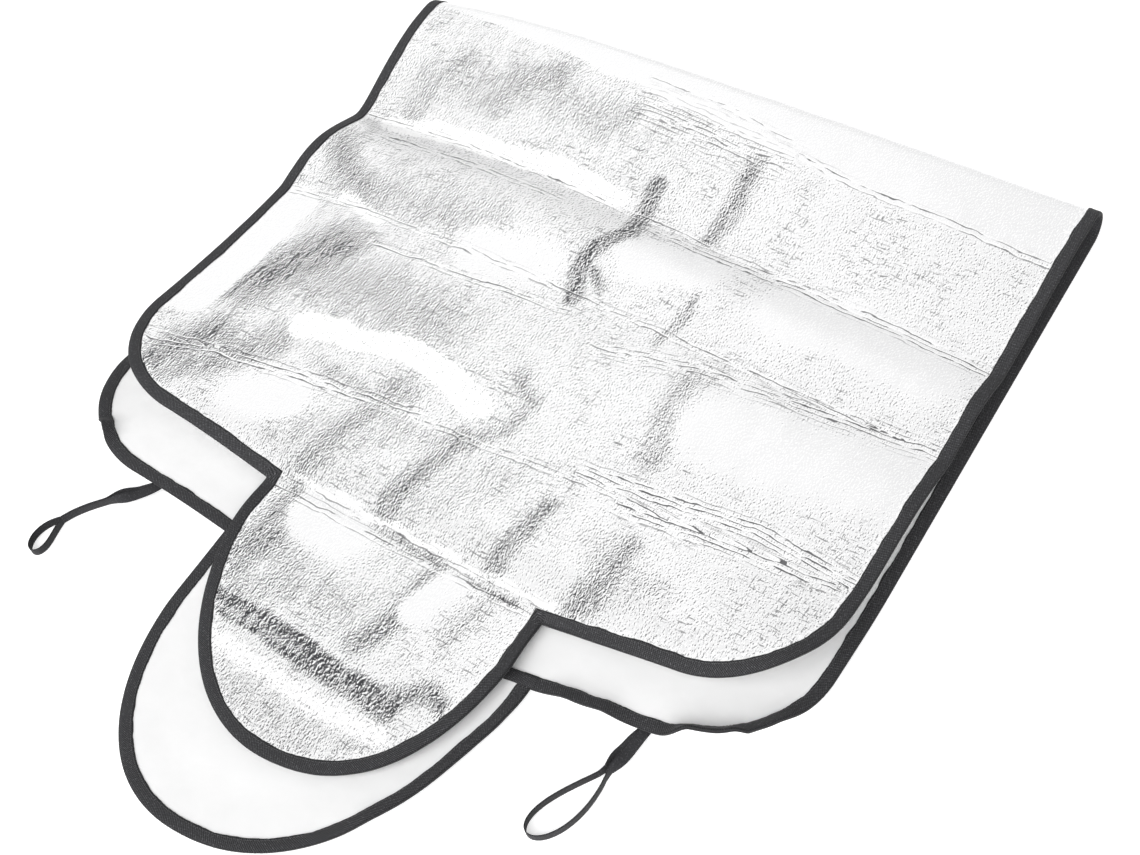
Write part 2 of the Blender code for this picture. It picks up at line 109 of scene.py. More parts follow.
# Painted marks on the upper half's foil, each with its half width, strength and route in plan:
# streaks of painted dark reflection, stripes of painted highlight, smooth panels left without
# painted dark reflection, and crease lines of painted shade with a painted highlight beside them.
# A strength over CRISP_STRENGTH gives a mark a sharp border.
CRISP_STRENGTH = 0.97
RAGGED_REACH = 0.006  # how far the marks' borders wander
RAGGED_WAVES = 24  # and how quickly, in waves per metre
# Painted dark reflection: streaks where the crinkled foil mirrors something dark
DARK_REFLECTION_STREAKS = (
    (0.038, 0.95, ((-0.395, -0.125), (-0.355, -0.070), (-0.325, -0.020))),
    (0.024, 0.75, ((-0.350, -0.065), (-0.310, -0.050))),
    (0.055, 0.60, ((-0.320, -0.080), (-0.240, -0.065), (-0.150, -0.075))),
    (0.030, 0.90, ((-0.415, -0.275), (-0.400, -0.235), (-0.375, -0.205))),
    (0.028, 0.75, ((-0.385, -0.275), (-0.345, -0.230), (-0.305, -0.180))),
    (0.027, 0.75, ((-0.430, 0.125), (-0.395, 0.085), (-0.350, 0.065))),
    (0.034, 0.52, ((-0.350, 0.065), (-0.280, 0.070), (-0.200, 0.080))),
    (0.023, 0.70, ((-0.165, -0.310), (-0.145, -0.245), (-0.115, -0.180))),
    (0.018, 0.80, ((-0.040, -0.310), (-0.035, -0.265), (-0.010, -0.200))),
    (0.014, 0.80, ((0.105, -0.320), (0.118, -0.280), (0.122, -0.235))),
    (0.019, 0.80, ((0.215, -0.325), (0.232, -0.290), (0.230, -0.245))),
    (0.027, 0.40, ((0.195, -0.255), (0.235, -0.295), (0.290, -0.280))),
    (0.018, 0.85, ((0.030, -0.460), (0.050, -0.415), (0.052, -0.355))),
    (0.022, 0.55, ((0.195, -0.135), (0.188, -0.090), (0.178, -0.025))),
    (0.032, 0.85, ((-0.165, -0.440), (-0.145, -0.400), (-0.145, -0.345))),
    (0.034, 0.50, ((-0.130, -0.465), (-0.085, -0.440), (-0.100, -0.400))),
    (0.026, 0.55, ((-0.385, 0.215), (-0.375, 0.265), (-0.350, 0.300))),
    (0.030, 0.65, ((-0.280, 0.265), (-0.265, 0.300), (-0.215, 0.320))),
    (0.016, 0.55, ((-0.120, 0.265), (-0.095, 0.310))),
    (0.016, 0.45, ((0.110, -0.415), (0.120, -0.350))),
    (0.008, 0.60, ((0.110, 0.010), (0.125, 0.065), (0.112, 0.155))),
    (0.014, 0.80, ((0.085, 0.180), (0.095, 0.230), (0.087, 0.290))),
    (0.014, 0.55, ((-0.225, -0.185), (-0.150, -0.195), (-0.125, -0.170))),
    (0.012, 0.60, ((-0.005, -0.095), (0.030, -0.125), (0.025, -0.170), (-0.005, -0.195))),
    (0.016, 0.50, ((-0.075, -0.215), (-0.030, -0.225))),
    (0.013, 0.98, ((-0.012, 0.025), (-0.030, 0.060), (-0.025, 0.100), (-0.003, 0.140))),
    (0.013, 0.98, ((-0.003, 0.140), (-0.010, 0.185), (-0.015, 0.225))),
    (0.008, 0.90, ((-0.010, 0.070), (0.012, 0.052))),
    (0.006, 1.15, ((-0.152, -0.480), (-0.095, -0.480), (-0.010, -0.488))),
    (0.011, 0.80, ((-0.150, -0.489), (-0.095, -0.489), (-0.010, -0.496))),
    (0.005, 1.05, ((-0.135, -0.496), (-0.060, -0.499), (0.000, -0.508))),
    (0.015, 0.98, ((-0.015, -0.498), (0.040, -0.503), (0.100, -0.505))),
    (0.006, 1.1, ((0.000, -0.492), (0.050, -0.494), (0.105, -0.503))),
    (0.050, 0.40, ((-0.200, -0.280), (-0.100, -0.220))),
    (0.050, 0.36, ((-0.030, -0.300), (0.050, -0.220))),
    (0.050, 0.42, ((-0.130, -0.420), (0.000, -0.430))),
    (0.042, 0.48, ((-0.380, 0.265), (-0.260, 0.290), (-0.120, 0.290))),
    (0.050, 0.42, ((-0.330, 0.090), (-0.180, 0.095))),
    (0.045, 0.42, ((-0.300, -0.070), (-0.100, -0.060))),
    (0.004, 0.90, ((-0.120, -0.329), (-0.020, -0.333), (0.060, -0.335), (0.150, -0.340))),
    (0.012, 0.95, ((0.102, -0.490), (0.130, -0.472), (0.155, -0.485))),
)
# Painted highlights: bright stripes where the foil catches the light
HIGHLIGHT_STRIPES = (
    (0.016, 1.0, ((-0.400, 0.185), (-0.335, 0.200), (-0.145, 0.205), (-0.050, 0.190))),
    (0.018, 1.0, ((-0.285, -0.145), (-0.140, -0.125), (-0.075, -0.135), (-0.020, -0.155))),
    (0.010, 0.8, ((-0.365, 0.045), (-0.305, 0.035))),
    (0.004, 1.0, ((-0.170, -0.321), (-0.115, -0.320), (0.100, -0.325), (0.190, -0.331))),
    (0.012, 0.8, ((-0.140, -0.522), (0.040, -0.540), (0.110, -0.535))),
)
SMOOTH_PANELS = (
    (0.024, 0.9, ((-0.120, -0.350), (-0.070, -0.355))),
    (0.024, 0.9, ((0.035, 0.105), (0.105, 0.120))),
    (0.032, 0.8, ((0.230, 0.105), (0.300, 0.115), (0.405, 0.095))),
    (0.036, 0.8, ((0.240, -0.070), (0.390, -0.060), (0.440, -0.050))),
    (0.034, 1.0, ((-0.450, -0.160), (-0.440, -0.085), (-0.430, 0.005))),
    (0.014, 0.8, ((0.070, -0.350), (0.060, -0.400))),
    (0.026, 0.7, ((-0.280, -0.270), (-0.240, -0.240))),
    (0.030, 0.5, ((-0.150, 0.040), (-0.080, 0.050))),
)
# Painted shade along the creases, with a painted highlight line beside each
PAINTED_CREASE_LINES = (
    (0.005, 0.8, ((0.130, 0.320), (0.205, 0.305), (0.335, 0.295), (0.460, 0.280))),
    (0.005, 0.5, ((-0.100, 0.362), (0.000, 0.358), (0.110, 0.335))),
    (0.012, 1.0, ((0.140, -0.180), (0.210, -0.175), (0.340, -0.165), (0.450, -0.180))),
    (0.012, 0.8, ((0.200, -0.200), (0.330, -0.195), (0.440, -0.190))),
    (0.008, 0.9, ((0.010, 0.160), (0.115, 0.150), (0.220, 0.150))),
    (0.008, 1.2, ((0.220, 0.150), (0.350, 0.138), (0.465, 0.125))),
    (0.014, 0.6, ((0.060, -0.030), (0.180, -0.005), (0.450, 0.005))),
    (0.006, 0.8, ((-0.410, 0.155), (-0.250, 0.160), (-0.115, 0.155))),
    (0.006, 0.9, ((-0.280, -0.005), (-0.140, 0.000), (-0.010, 0.005))),
    (0.010, 0.8, ((-0.440, -0.250), (-0.355, -0.225), (-0.200, -0.205), (-0.075, -0.195))),
    (0.006, 0.5, ((-0.170, -0.325), (-0.015, -0.328), (0.190, -0.338))),
    (0.030, 0.5, ((-0.080, 0.320), (0.010, 0.310), (0.100, 0.300))),
)


def length(name, description, default):
    return FloatProperty(name=name, description=description, default=default, unit="LENGTH")


def angle(name, description, degrees):
    default = math.radians(degrees)
    return FloatProperty(name=name, description=description, default=default, subtype="ANGLE")


def share(name, description, default):
    return FloatProperty(name=name, description=description, default=default)


def colour(name, description, default):
    return FloatVectorProperty(
        name=name, description=description, default=default, subtype="COLOR", min=0, max=1
    )


class CoverCut(bpy.types.PropertyGroup):
    """Sizes of the flat cut, measured over the binding."""

    width: length("Width", "Width across the cover, along the fold", 0.960)
    body_length: length("Body length", "Length between the two side edges", 1.552)
    side_bow: length("Side bow", "How far a side edge bulges towards its ear", 0.016)
    corner_radius: length("Corner radius", "Radius of the four corners", 0.140)
    upper_ear_width: length("Upper ear width", "Width of the upper half's ear", 0.388)
    upper_ear_length: length("Upper ear length", "Length of the upper half's ear", 0.269)
    lower_ear_width: length("Lower ear width", "Width of the lower half's ear", 0.420)
    lower_ear_length: length("Lower ear length", "Length of the lower half's ear", 0.304)
    ear_fullness: share("Ear fullness", "2 is an ellipse, more is squarer", 2.2)
    sheet_thickness: length("Sheet thickness", "Foil and foam together", 0.003)
    tape_width: length("Binding width", "Width of the folded binding on each face", 0.015)
    tape_thickness: length("Binding thickness", "Thickness of the binding tape", 0.0006)
    seat_gap: length("Seat gap", "Clearance between the sheet and what is sewn on it", 0.0003)


class CoverLie(bpy.types.PropertyGroup):
    """How the cover lies folded."""

    fold_y: length("Fold place", "How far back the fold lies at its ends", 0.365)
    fold_bow: length("Fold bow", "How far the fold bows back between its ends", 0.016)
    fold_bow_left: share("Bow to the left", "How much more the fold bows at the left", 0.7)
    fold_bow_power: share("Bow bluntness", "2 is round, more is flatter", 3.0)
    fold_skew: angle("Fold skew", "Turn of the fold from square", 0.4)
    roll_left: length("Roll radius left", "Radius of the soft fold at its left end", 0.0245)
    roll_right: length("Roll radius right", "Radius of the soft fold at its right end", 0.020)
    upper_pull: length("Upper edge pull", "How far the upper left edge is drawn in", 0.021)
    roll_pull: length("Roll edge pull", "How far the fold's left end is drawn in", 0.034)
    upper_ear_turn: angle("Upper ear turn", "Sideways turn of the upper ear", -7.5)
    lower_ear_turn: angle("Lower ear turn", "Sideways turn of the lower ear", 4.0)
    ear_turn_run: length("Ear turn run", "Length over which an ear turns", 0.10)
    lower_left_lift: length("Lower left lift", "Lift of the lower left corner", 0.014)
    lower_right_lift: length("Lower right lift", "Lift of the lower right corner", 0.018)
    lower_ear_lift: length("Lower ear lift", "Lift of the lower ear's tip", 0.003)
    upper_left_lift: length("Upper left lift", "Further lift of the upper left corner", 0.006)
    upper_right_lift: length("Upper right lift", "Further lift of the upper right corner", 0.015)


class LoopSizes(bpy.types.PropertyGroup):
    """Sizes of the two elastic loops."""

    width: length("Band width", "Width of the elastic band", 0.012)
    thickness: length("Band thickness", "Thickness of the elastic band", 0.0012)
    seat: length("Seat", "How far the ends reach under the binding", 0.010)
    twist_start: length("Twist start", "Where the flat pair starts to turn on edge", 0.030)
    twist_end: length("Twist end", "Where the pair stands on edge", 0.070)
    fan: length("Fan", "How far each end of the band spreads to its side near the root", 0.0035)
    left_inset: length("Left inset", "Left loop's distance from the cover's side", 0.160)
    left_eye: length("Left eye", "Length of the left loop's eye", 0.050)
    left_swell: length("Left swell", "Fullness of the left loop's eye", 0.0135)
    right_inset: length("Right inset", "Right loop's distance from the cover's side", 0.138)
    right_eye: length("Right eye", "Length of the right loop's eye", 0.101)
    right_swell: length("Right swell", "Fullness of the right loop's eye", 0.0215)


class TrimSizes(bpy.types.PropertyGroup):
    """Small sizes of the binding, its tail and its stitches."""

    wobble: length("Wobble", "How far the inner edge of the binding wanders", 0.0014)
    fray: length("Fray", "How far single threads stand out from that edge", 0.0002)
    tail_length: length("Tail length", "How far the side edge's binding runs on", 0.036)
    tail_start: length("Tail start", "How far before the ear's root the tail starts", 0.004)
    tail_inset: length("Tail inset", "How much narrower than the binding it is, each side", 0.0005)
    stitch_pitch: length("Stitch pitch", "Distance between stitches", 0.0038)
    stitch_length: length("Stitch length", "Length of one stitch", 0.0028)
    stitch_inset: length("Stitch inset", "From the binding's inner edge to the stitches", 0.0024)
    thread: length("Thread", "Thickness of the thread", 0.00026)


class CoverLooks(bpy.types.PropertyGroup):
    """Colours, and the fineness of the meshes."""

    foil: colour("Foil", "Bright foil", (0.85, 0.85, 0.855))
    # Painted shade: the darkest colour of the shaded sides of the foil's crinkles
    crack: colour("Crinkle", "Dark side of the foil's crinkles", (0.06, 0.06, 0.065))
    foam: colour("Foam", "White foam face", (0.95, 0.95, 0.95))
    tape: colour("Binding", "Charcoal woven tape", (0.034, 0.034, 0.036))
    thread: colour("Thread", "Stitching of the binding", (0.11, 0.11, 0.112))
    elastic: colour("Elastic", "Black elastic band", (0.024, 0.024, 0.026))
    upper_step: length("Upper mesh step", "Spacing of points on the upper half", 0.0052)
    edge_step: length("Edge step", "Spacing of points along the bound edge", 0.003)
    lower_step: length("Lower mesh step", "Spacing of points on the lower half", 0.012)


class StageLooks(bpy.types.PropertyGroup):
    """Floor, light and camera."""

    floor: colour("Floor", "Floor colour", (0.86, 0.86, 0.86))
    floor_size: length("Floor size", "Width of the floor", 12.0)
    floor_gap: length("Floor gap", "How far the floor lies below the cover", 0.0004)
    floor_glow: share("Floor glow", "Light of the floor that only the camera sees", 0.55)
    sky: share("Sky", "Strength of the even white light", 0.23)
    key: share("Key", "Strength of the soft light from the front", 4.65)
    key_spread: angle("Key spread", "How wide a part of the sky that light fills", 90)
    back: FloatProperty(
        name="Back lamp", description="Large faint lamp behind", default=4.5, unit="POWER"
    )
    back_size: length("Back lamp size", "Width of the lamp behind", 3.0)
    lens: FloatProperty(
        name="Lens", description="Focal length", default=0.05698, unit="CAMERA", subtype="DISTANCE"
    )


def smooth(value):
    value = np.clip(value, 0.0, 1.0)
    return value * value * (3 - 2 * value)


def mix(a, b, amount):
    return a + (b - a) * amount


class Cover:
    """The flat cut and its folded form, worked out on whole arrays of points."""

    def __init__(self, scene):
        for group in (scene.cover_cut, scene.cover_lie):
            for name in type(group).__annotations__:
                setattr(self, name, getattr(group, name))
        self.half_sheet = self.sheet_thickness / 2
        self.tape_inside = self.half_sheet + self.seat_gap
        self.tape_outside = self.tape_inside + self.tape_thickness
        self.stack = 3 * self.tape_outside + self.seat_gap

    def ear_root(self, ear_width):
        """How far the side edge reaches beyond the middle where it meets the ear."""
        corner_x = self.width / 2 - self.corner_radius
        slope = math.atan2(self.side_bow, corner_x - ear_width / 2)
        end_x = corner_x + self.corner_radius * math.sin(slope)
        end_y = self.body_length / 2 - self.corner_radius * (1 - math.cos(slope))
        return end_y + (end_x - ear_width / 2) * math.tan(slope)

    def end_pieces(self, ear_width, ear_length):
        """One end of the cut as five stretches, from the right side round to the left."""
        corner_x = self.width / 2 - self.corner_radius
        corner_y = self.body_length / 2 - self.corner_radius
        slope = math.atan2(self.side_bow, corner_x - ear_width / 2)
        a = np.linspace(0, math.pi / 2 - slope, 200)
        radius = self.corner_radius
        corner = np.stack([corner_x + radius * np.cos(a), corner_y + radius * np.sin(a)], 1)
        root = self.ear_root(ear_width)
        edge = np.array([corner[-1], (ear_width / 2, root)])
        a = np.linspace(0, math.pi, 2001)
        power = 2 / self.ear_fullness
        across = np.sign(np.cos(a)) * np.abs(np.cos(a)) ** power * ear_width / 2
        ear = np.stack([across, root + ear_length * np.abs(np.sin(a)) ** power], 1)
        mirror = np.array([-1.0, 1.0])
        return [corner, edge, ear, edge[::-1] * mirror, corner[::-1] * mirror]

    def outline(self, step):
        """The whole outline, anticlockwise from the right side, at an even step."""
        straight = self.body_length / 2 - self.corner_radius
        side = np.array([(self.width / 2, -straight), (self.width / 2, straight)])
        pieces = [side] + self.end_pieces(self.upper_ear_width, self.upper_ear_length)
        pieces += [-side]
        pieces += [-p for p in self.end_pieces(self.lower_ear_width, self.lower_ear_length)]
        return np.concatenate([even_points(piece, step)[:-1] for piece in pieces])

    def lay(self, across, along):
        """Points of the flat cut beside the fold: X, and the run past the roll's start."""
        for side, ear_width, turn in (
            (1, self.upper_ear_width, self.upper_ear_turn),
            (-1, self.lower_ear_width, self.lower_ear_turn),
        ):
            root = self.ear_root(ear_width)
            past = side * along - root
            bend = side * turn * smooth(past / self.ear_turn_run)
            turned = across * np.cos(bend) - side * past * np.sin(bend)
            moved = side * (past * np.cos(bend) + across * np.sin(bend) + root)
            across = np.where(past > 0, turned, across)
            along = np.where(past > 0, moved, along)
        x = across * math.cos(self.fold_skew) - along * math.sin(self.fold_skew)
        run = along * math.cos(self.fold_skew) + across * math.sin(self.fold_skew)
        return x, run

    def unlay(self, x, run):
        """The flat cut's point, but for an ear's turn, from its place beside the fold."""
        across = x * math.cos(self.fold_skew) + run * math.sin(self.fold_skew)
        along = run * math.cos(self.fold_skew) - x * math.sin(self.fold_skew)
        return across, along

    def roll_radius(self, x):
        return mix(self.roll_left, self.roll_right, x / self.width + 0.5)

    def crease_run(self, row, x):
        reach = self.ear_root(self.upper_ear_width) - math.pi * self.roll_radius(0)
        return mix(row[1], row[2], x / self.width + 0.5) * reach

    def crease_profile(self, run, x):
        """Height of the upper layer's middle over the floor, a run past the roll."""
        across = x / self.width + 0.5
        before = (False, 0.0 * x, self.tape_outside + 2 * self.roll_radius(x))
        height = np.array(before[2])
        crest = math.sqrt(1 + CREASE_ROUNDNESS**2) - CREASE_ROUNDNESS
        for row in CREASE_ROWS:
            end = self.crease_run(row, x)
            after = (row[0], end, self.stack + mix(row[3], row[4], across))
            part = (run - before[1]) / (end - before[1])
            low, high = (before, after) if before[0] else (after, before)
            bend = part if before[0] else 1 - part
            bend = np.sqrt(np.sin(math.pi * np.clip(bend, 0, 1) / 2) ** 2 + CREASE_ROUNDNESS**2)
            bend = (bend - CREASE_ROUNDNESS) / crest
            height = np.where(part > 0, low[2] + (high[2] - low[2]) * bend, height)
            before = after
        return height

    def lower_rise(self, x, y):
        """Lift of the lower layer off the floor towards its corners and its ear's tip."""
        across = x / self.width + 0.5
        corners = self.lower_right_lift * smooth((across - 0.55) / 0.4)
        corners = corners + self.lower_left_lift * smooth((0.45 - across) / 0.4)
        ear = self.lower_ear_lift * smooth((-y - 0.45) / 0.2)
        return corners * smooth((-y - 0.15) / 0.2) + ear

    def edge_pull(self, x, run, y):
        """How far the left edge is drawn in, most where it passes over the roll."""
        reach = smooth((-x / (self.width / 2) - 0.4) / 0.6)
        turn = run / (math.pi * self.roll_radius(x))
        lower = self.roll_pull * smooth(1 + run / 0.35)
        roll = mix(self.roll_pull, self.upper_pull, smooth(turn))
        upper = self.upper_pull * smooth((y + 0.22) / 0.2)
        return np.where(turn <= 0, lower, np.where(turn < 1, roll, upper)) * reach

    def fold(self, x, run):
        """The sheet's middle surface, from the lower ear (run < 0) over the roll and on."""
        across = x / self.width + 0.5
        radius = self.roll_radius(x)
        bow = 1 - np.abs(2 * across - 1) ** self.fold_bow_power
        fold_y = self.fold_y + self.fold_bow * bow * (1 + self.fold_bow_left * (1 - 2 * across))
        turn = np.clip(run / radius, 0.0, math.pi)
        past = run - math.pi * radius
        top_y = fold_y - past
        corner = self.upper_right_lift * smooth((across - 0.62) / 0.3)
        corner = corner + self.upper_left_lift * smooth((0.38 - across) / 0.3)
        top_z = self.crease_profile(past, x) + self.lower_rise(x, top_y)
        top_z = top_z + corner * smooth((-top_y - 0.12) / 0.18)
        low_y = fold_y + np.minimum(run, 0.0) + radius * np.sin(turn)
        low_z = self.tape_outside + radius * (1 - np.cos(turn))
        low_z = low_z + np.where(run < 0, self.lower_rise(x, low_y), 0.0)
        y = np.where(past > 0, top_y, low_y)
        z = np.where(past > 0, top_z, low_z)
        return np.stack([x + self.edge_pull(x, run, y), y, z], -1)

    def rim_angle(self, x, run):
        """How far the lower half's edge has turned up, as the angle of its rim."""
        plan = np.stack([x, self.fold_y + np.minimum(run, 0.0)], 1)
        angle = np.zeros(len(x))
        for reach, degrees, route in EDGE_CURLS:
            near = route_distance(plan, route)[0] / reach
            angle = np.maximum(angle, math.radians(degrees) * np.exp(-(near**2)))
        waves = [noise.noise((a * CURL_WAVES, b * CURL_WAVES, 4.5)) for a, b in plan]
        return angle * (1 + CURL_UNEVENNESS * np.array(waves)) * (run < 0)

    def roll_up(self, middle, normal, x, run, away, inwards):
        """Turns up the lower half's rim, past a short bend, with the normals of its points."""
        rim = np.stack([x, run], 1) - inwards * away[:, None]
        angle = np.maximum(self.rim_angle(*rim.T), 1e-6)
        radius = CURL_BEND / angle
        arc = np.clip(CURL_REACH - away, 0, CURL_REACH)
        turn = np.minimum(arc, CURL_BEND) / radius
        beyond = np.maximum(arc - CURL_BEND, 0)
        inwards = np.concatenate([inwards, np.zeros((len(x), 1))], 1)
        drawn = arc - radius * np.sin(turn) - beyond * np.cos(turn)
        middle = middle + inwards * drawn[:, None]
        middle[:, 2] += radius * (1 - np.cos(turn)) + beyond * np.sin(turn)
        normal = normal * np.cos(turn)[:, None] + inwards * np.sin(turn)[:, None]
        return middle, normal

    def relief(self, x, run):
        """Soft unevenness of the hand-folded sheet, as a rise towards its foil side."""
        past = run - math.pi * self.roll_radius(x)
        upper = smooth(past / 0.05)
        rise = np.zeros(len(x))
        for i, (a, b) in enumerate(zip(x, run)):
            for across, along, seed, height in RELIEF_WAVES:
                rise[i] += height * noise.noise((a * across, b * along, seed))
        return np.where(upper > 0, rise * upper, -LOWER_RELIEF * np.abs(rise))

    def surface(self, x, run):
        """Points of the lying sheet's middle, and unit normals towards its white side."""
        step = 0.0005
        across = self.fold(x + step, run) - self.fold(x - step, run)
        along = self.fold(x, run + step) - self.fold(x, run - step)
        normal = np.cross(across, along)
        normal /= np.linalg.norm(normal, axis=1)[:, None]
        return self.fold(x, run), normal

    def crumpled(self, x, run):
        """The same with the sheet's unevenness."""
        middle, normal = self.surface(x, run)
        return middle - normal * self.relief(x, run)[:, None], normal

    def edge_line(self, points, away):
        """The same for a closed line of the flat cut that runs that far in from its edge."""
        x, run = self.lay(*points.T)
        middle, normal = self.crumpled(x, run)
        ways = inward_ways(np.stack([x, run], 1))
        return self.roll_up(middle, normal, x, run, np.full(len(x), away), ways)


def even_points(points, step):
    """A line of points at an even step, both ends kept."""
    gaps = np.linalg.norm(np.diff(points, axis=0), axis=1)
    travelled = np.concatenate([[0.0], np.cumsum(gaps)])
    count = max(2, int(math.ceil(travelled[-1] / step)) + 1)
    places = np.linspace(0, travelled[-1], count)
    return np.stack([np.interp(places, travelled, points[:, k]) for k in range(2)], 1)


def inset(points, distance):
    """A closed outline moved inwards by a distance, with mitred corners."""
    before = points - np.roll(points, 1, 0)
    after = np.roll(points, -1, 0) - points
    before /= np.linalg.norm(before, axis=1)[:, None]
    after /= np.linalg.norm(after, axis=1)[:, None]
    mitre = before + after
    mitre /= np.linalg.norm(mitre, axis=1)[:, None]
    reach = distance / np.maximum((mitre * before).sum(1), 0.5)
    return points + np.stack([-mitre[:, 1], mitre[:, 0]], 1) * reach[:, None]


def inside(points, ring):
    """Which points lie inside a closed ring."""
    odd = np.zeros(len(points), bool)
    x, y = points[:, 0], points[:, 1]
    for (ax, ay), (bx, by) in zip(np.roll(ring, 1, 0), ring):
        crosses = (ay > y) != (by > y)
        with np.errstate(divide="ignore", invalid="ignore"):
            odd ^= crosses & (x < ax + (y - ay) / (by - ay) * (bx - ax))
    return odd


def distances(points, places):
    """Distance in plan from each point to the nearest of some places, and the way from it."""
    tree = kdtree.KDTree(len(places))
    for i, (x, y) in enumerate(places):
        tree.insert((x, y, 0), i)
    tree.balance()
    found = [tree.find((x, y, 0)) for x, y in points]
    away = np.array([reach for _, _, reach in found])
    nearest = np.array([(place.x, place.y) for place, _, _ in found])
    return away, (points - nearest) / np.maximum(away, 1e-9)[:, None]


def inward_ways(laid):
    """Unit ways into the sheet from a closed line of laid points."""
    along = np.roll(laid, -1, 0) - np.roll(laid, 1, 0)
    along /= np.linalg.norm(along, axis=1)[:, None]
    return np.stack([-along[:, 1], along[:, 0]], 1)


def tube_faces(rings, sides, closed=False):
    """Faces of a row of rings, whose ends are joined to each other or else capped."""
    faces = []
    for i in range(rings if closed else rings - 1):
        a, b = i * sides, (i + 1) % rings * sides
        for k in range(sides):
            m = (k + 1) % sides
            one, two = (a + m, b + k) if closed else (b + k, a + m)
            faces.append((a + k, one, b + m, two))
    if not closed:
        last = (rings - 1) * sides
        faces.append(tuple(range(sides)))
        faces.append(tuple(reversed(range(last, last + sides))))
    return faces


def add_mesh(name, vertices, faces, materials, slots=None):
    mesh = bpy.data.meshes.new(name)
    mesh.from_pydata([tuple(v) for v in vertices], [], faces)
    for material in materials:
        mesh.materials.append(material)
    if slots is not None:
        mesh.polygons.foreach_set("material_index", slots)
    mesh.shade_smooth()
    mesh.update()
    piece = bpy.data.objects.new(name, mesh)
    bpy.context.scene.collection.objects.link(piece)
    return piece


def add_values(mesh, name, values):
    """Stores a value, or a place, for each of the mesh's points."""
    values = np.asarray(values, float)
    kind = "FLOAT_VECTOR" if values.ndim == 2 else "FLOAT"
    layer = mesh.attributes.new(name, kind, "POINT")
    layer.data.foreach_set("vector" if values.ndim == 2 else "value", values.ravel())


def grey(level):
    """A grey with the foil's faint blue."""
    return (level, level, level + 0.005)


def tinted(base, factor):
    return tuple(min(1, c * factor) for c in base)


class Nodes:
    """Short names for building a tree of shader nodes."""

    def __init__(self, tree):
        self.tree = tree

    def link(self, value, socket):
        if isinstance(value, bpy.types.NodeSocket):
            self.tree.links.new(value, socket)
        else:
            socket.default_value = value

    def math(self, operation, *values, clamp=False):
        node = self.tree.nodes.new("ShaderNodeMath")
        node.operation = operation
        node.use_clamp = clamp
        for value, socket in zip(values, node.inputs):
            self.link(value, socket)
        return node.outputs[0]

    def plus(self, first, second):
        return self.math("ADD", first, second)

    def less(self, first, second):
        return self.math("SUBTRACT", first, second)

    def times(self, first, second, clamp=False):
        return self.math("MULTIPLY", first, second, clamp=clamp)

    def most(self, first, second):
        return self.math("MAXIMUM", first, second)

    def apart(self, first, second):
        return self.math("ABSOLUTE", self.less(first, second))

    def ramp(self, value, low, high, start=0.0, end=1.0):
        """Start up to the low value, end from the high one on, and a soft step between."""
        node = self.tree.nodes.new("ShaderNodeMapRange")
        node.interpolation_type = "SMOOTHSTEP"
        names = ("Value", "From Min", "From Max", "To Min", "To Max")
        for name, number in zip(names, (value, low, high, start, end)):
            self.link(number, node.inputs[name])
        return node.outputs[0]

    def seen(self):
        """1 for what the camera sees, directly, mirrored or through something, and else 0."""
        rays = self.tree.nodes.new("ShaderNodeLightPath").outputs
        seen = self.most(rays["Is Camera Ray"], rays["Is Glossy Ray"])
        return self.most(seen, rays["Is Transmission Ray"])


class Shader(Nodes):
    """A Principled material. The scales of its noises are in waves per metre."""

    def __init__(self, name, base, roughness, metallic=0.0):
        self.material = bpy.data.materials.new(name)
        self.material.use_nodes = True
        super().__init__(self.material.node_tree)
        self.surface = self.tree.nodes["Principled BSDF"]
        self.surface.inputs["Base Color"].default_value = (*base, 1)
        self.surface.inputs["Roughness"].default_value = roughness
        self.surface.inputs["Metallic"].default_value = metallic

    def stored(self, name, output="Fac"):
        node = self.tree.nodes.new("ShaderNodeAttribute")
        node.attribute_name = name
        return node.outputs[output]

    def stretched(self, place, scale, turn=0.0, shift=(0, 0, 0)):
        node = self.tree.nodes.new("ShaderNodeMapping")
        self.link(place, node.inputs["Vector"])
        node.inputs["Scale"].default_value = scale
        node.inputs["Rotation"].default_value = (0, 0, turn)
        node.inputs["Location"].default_value = shift
        return node.outputs[0]

    def noise(self, place, scale, detail=2.0, roughness=0.6, warp=0.0, turn=0.0, shift=(0, 0, 0)):
        node = self.tree.nodes.new("ShaderNodeTexNoise")
        self.link(self.stretched(place, scale, turn, shift), node.inputs["Vector"])
        node.inputs["Scale"].default_value = 1.0
        node.inputs["Detail"].default_value = detail
        node.inputs["Roughness"].default_value = roughness
        node.inputs["Distortion"].default_value = warp
        return node.outputs["Fac"]

    def slope(self, place, scale, detail=1.0, warp=0.0, shift=(0.5, 0.15, 0)):
        """Noise less the same noise a little aside: one side of each ridge is high, one low."""
        here = self.noise(place, scale, detail, 0.6, warp)
        return self.less(here, self.noise(place, scale, detail, 0.6, warp, 0.0, shift))

    def blend(self, amount, first, second):
        node = self.tree.nodes.new("ShaderNodeMix")
        node.data_type = "RGBA"
        self.link(amount, node.inputs[0])
        for value, socket in ((first, node.inputs[6]), (second, node.inputs[7])):
            self.link(value if isinstance(value, bpy.types.NodeSocket) else (*value, 1), socket)
        return node.outputs[2]

    def bump(self, height, distance, strength=1.0, under=None):
        node = self.tree.nodes.new("ShaderNodeBump")
        node.inputs["Strength"].default_value = strength
        node.inputs["Distance"].default_value = distance
        self.link(height, node.inputs["Height"])
        if under is not None:
            self.link(under, node.inputs["Normal"])
        return node.outputs[0]


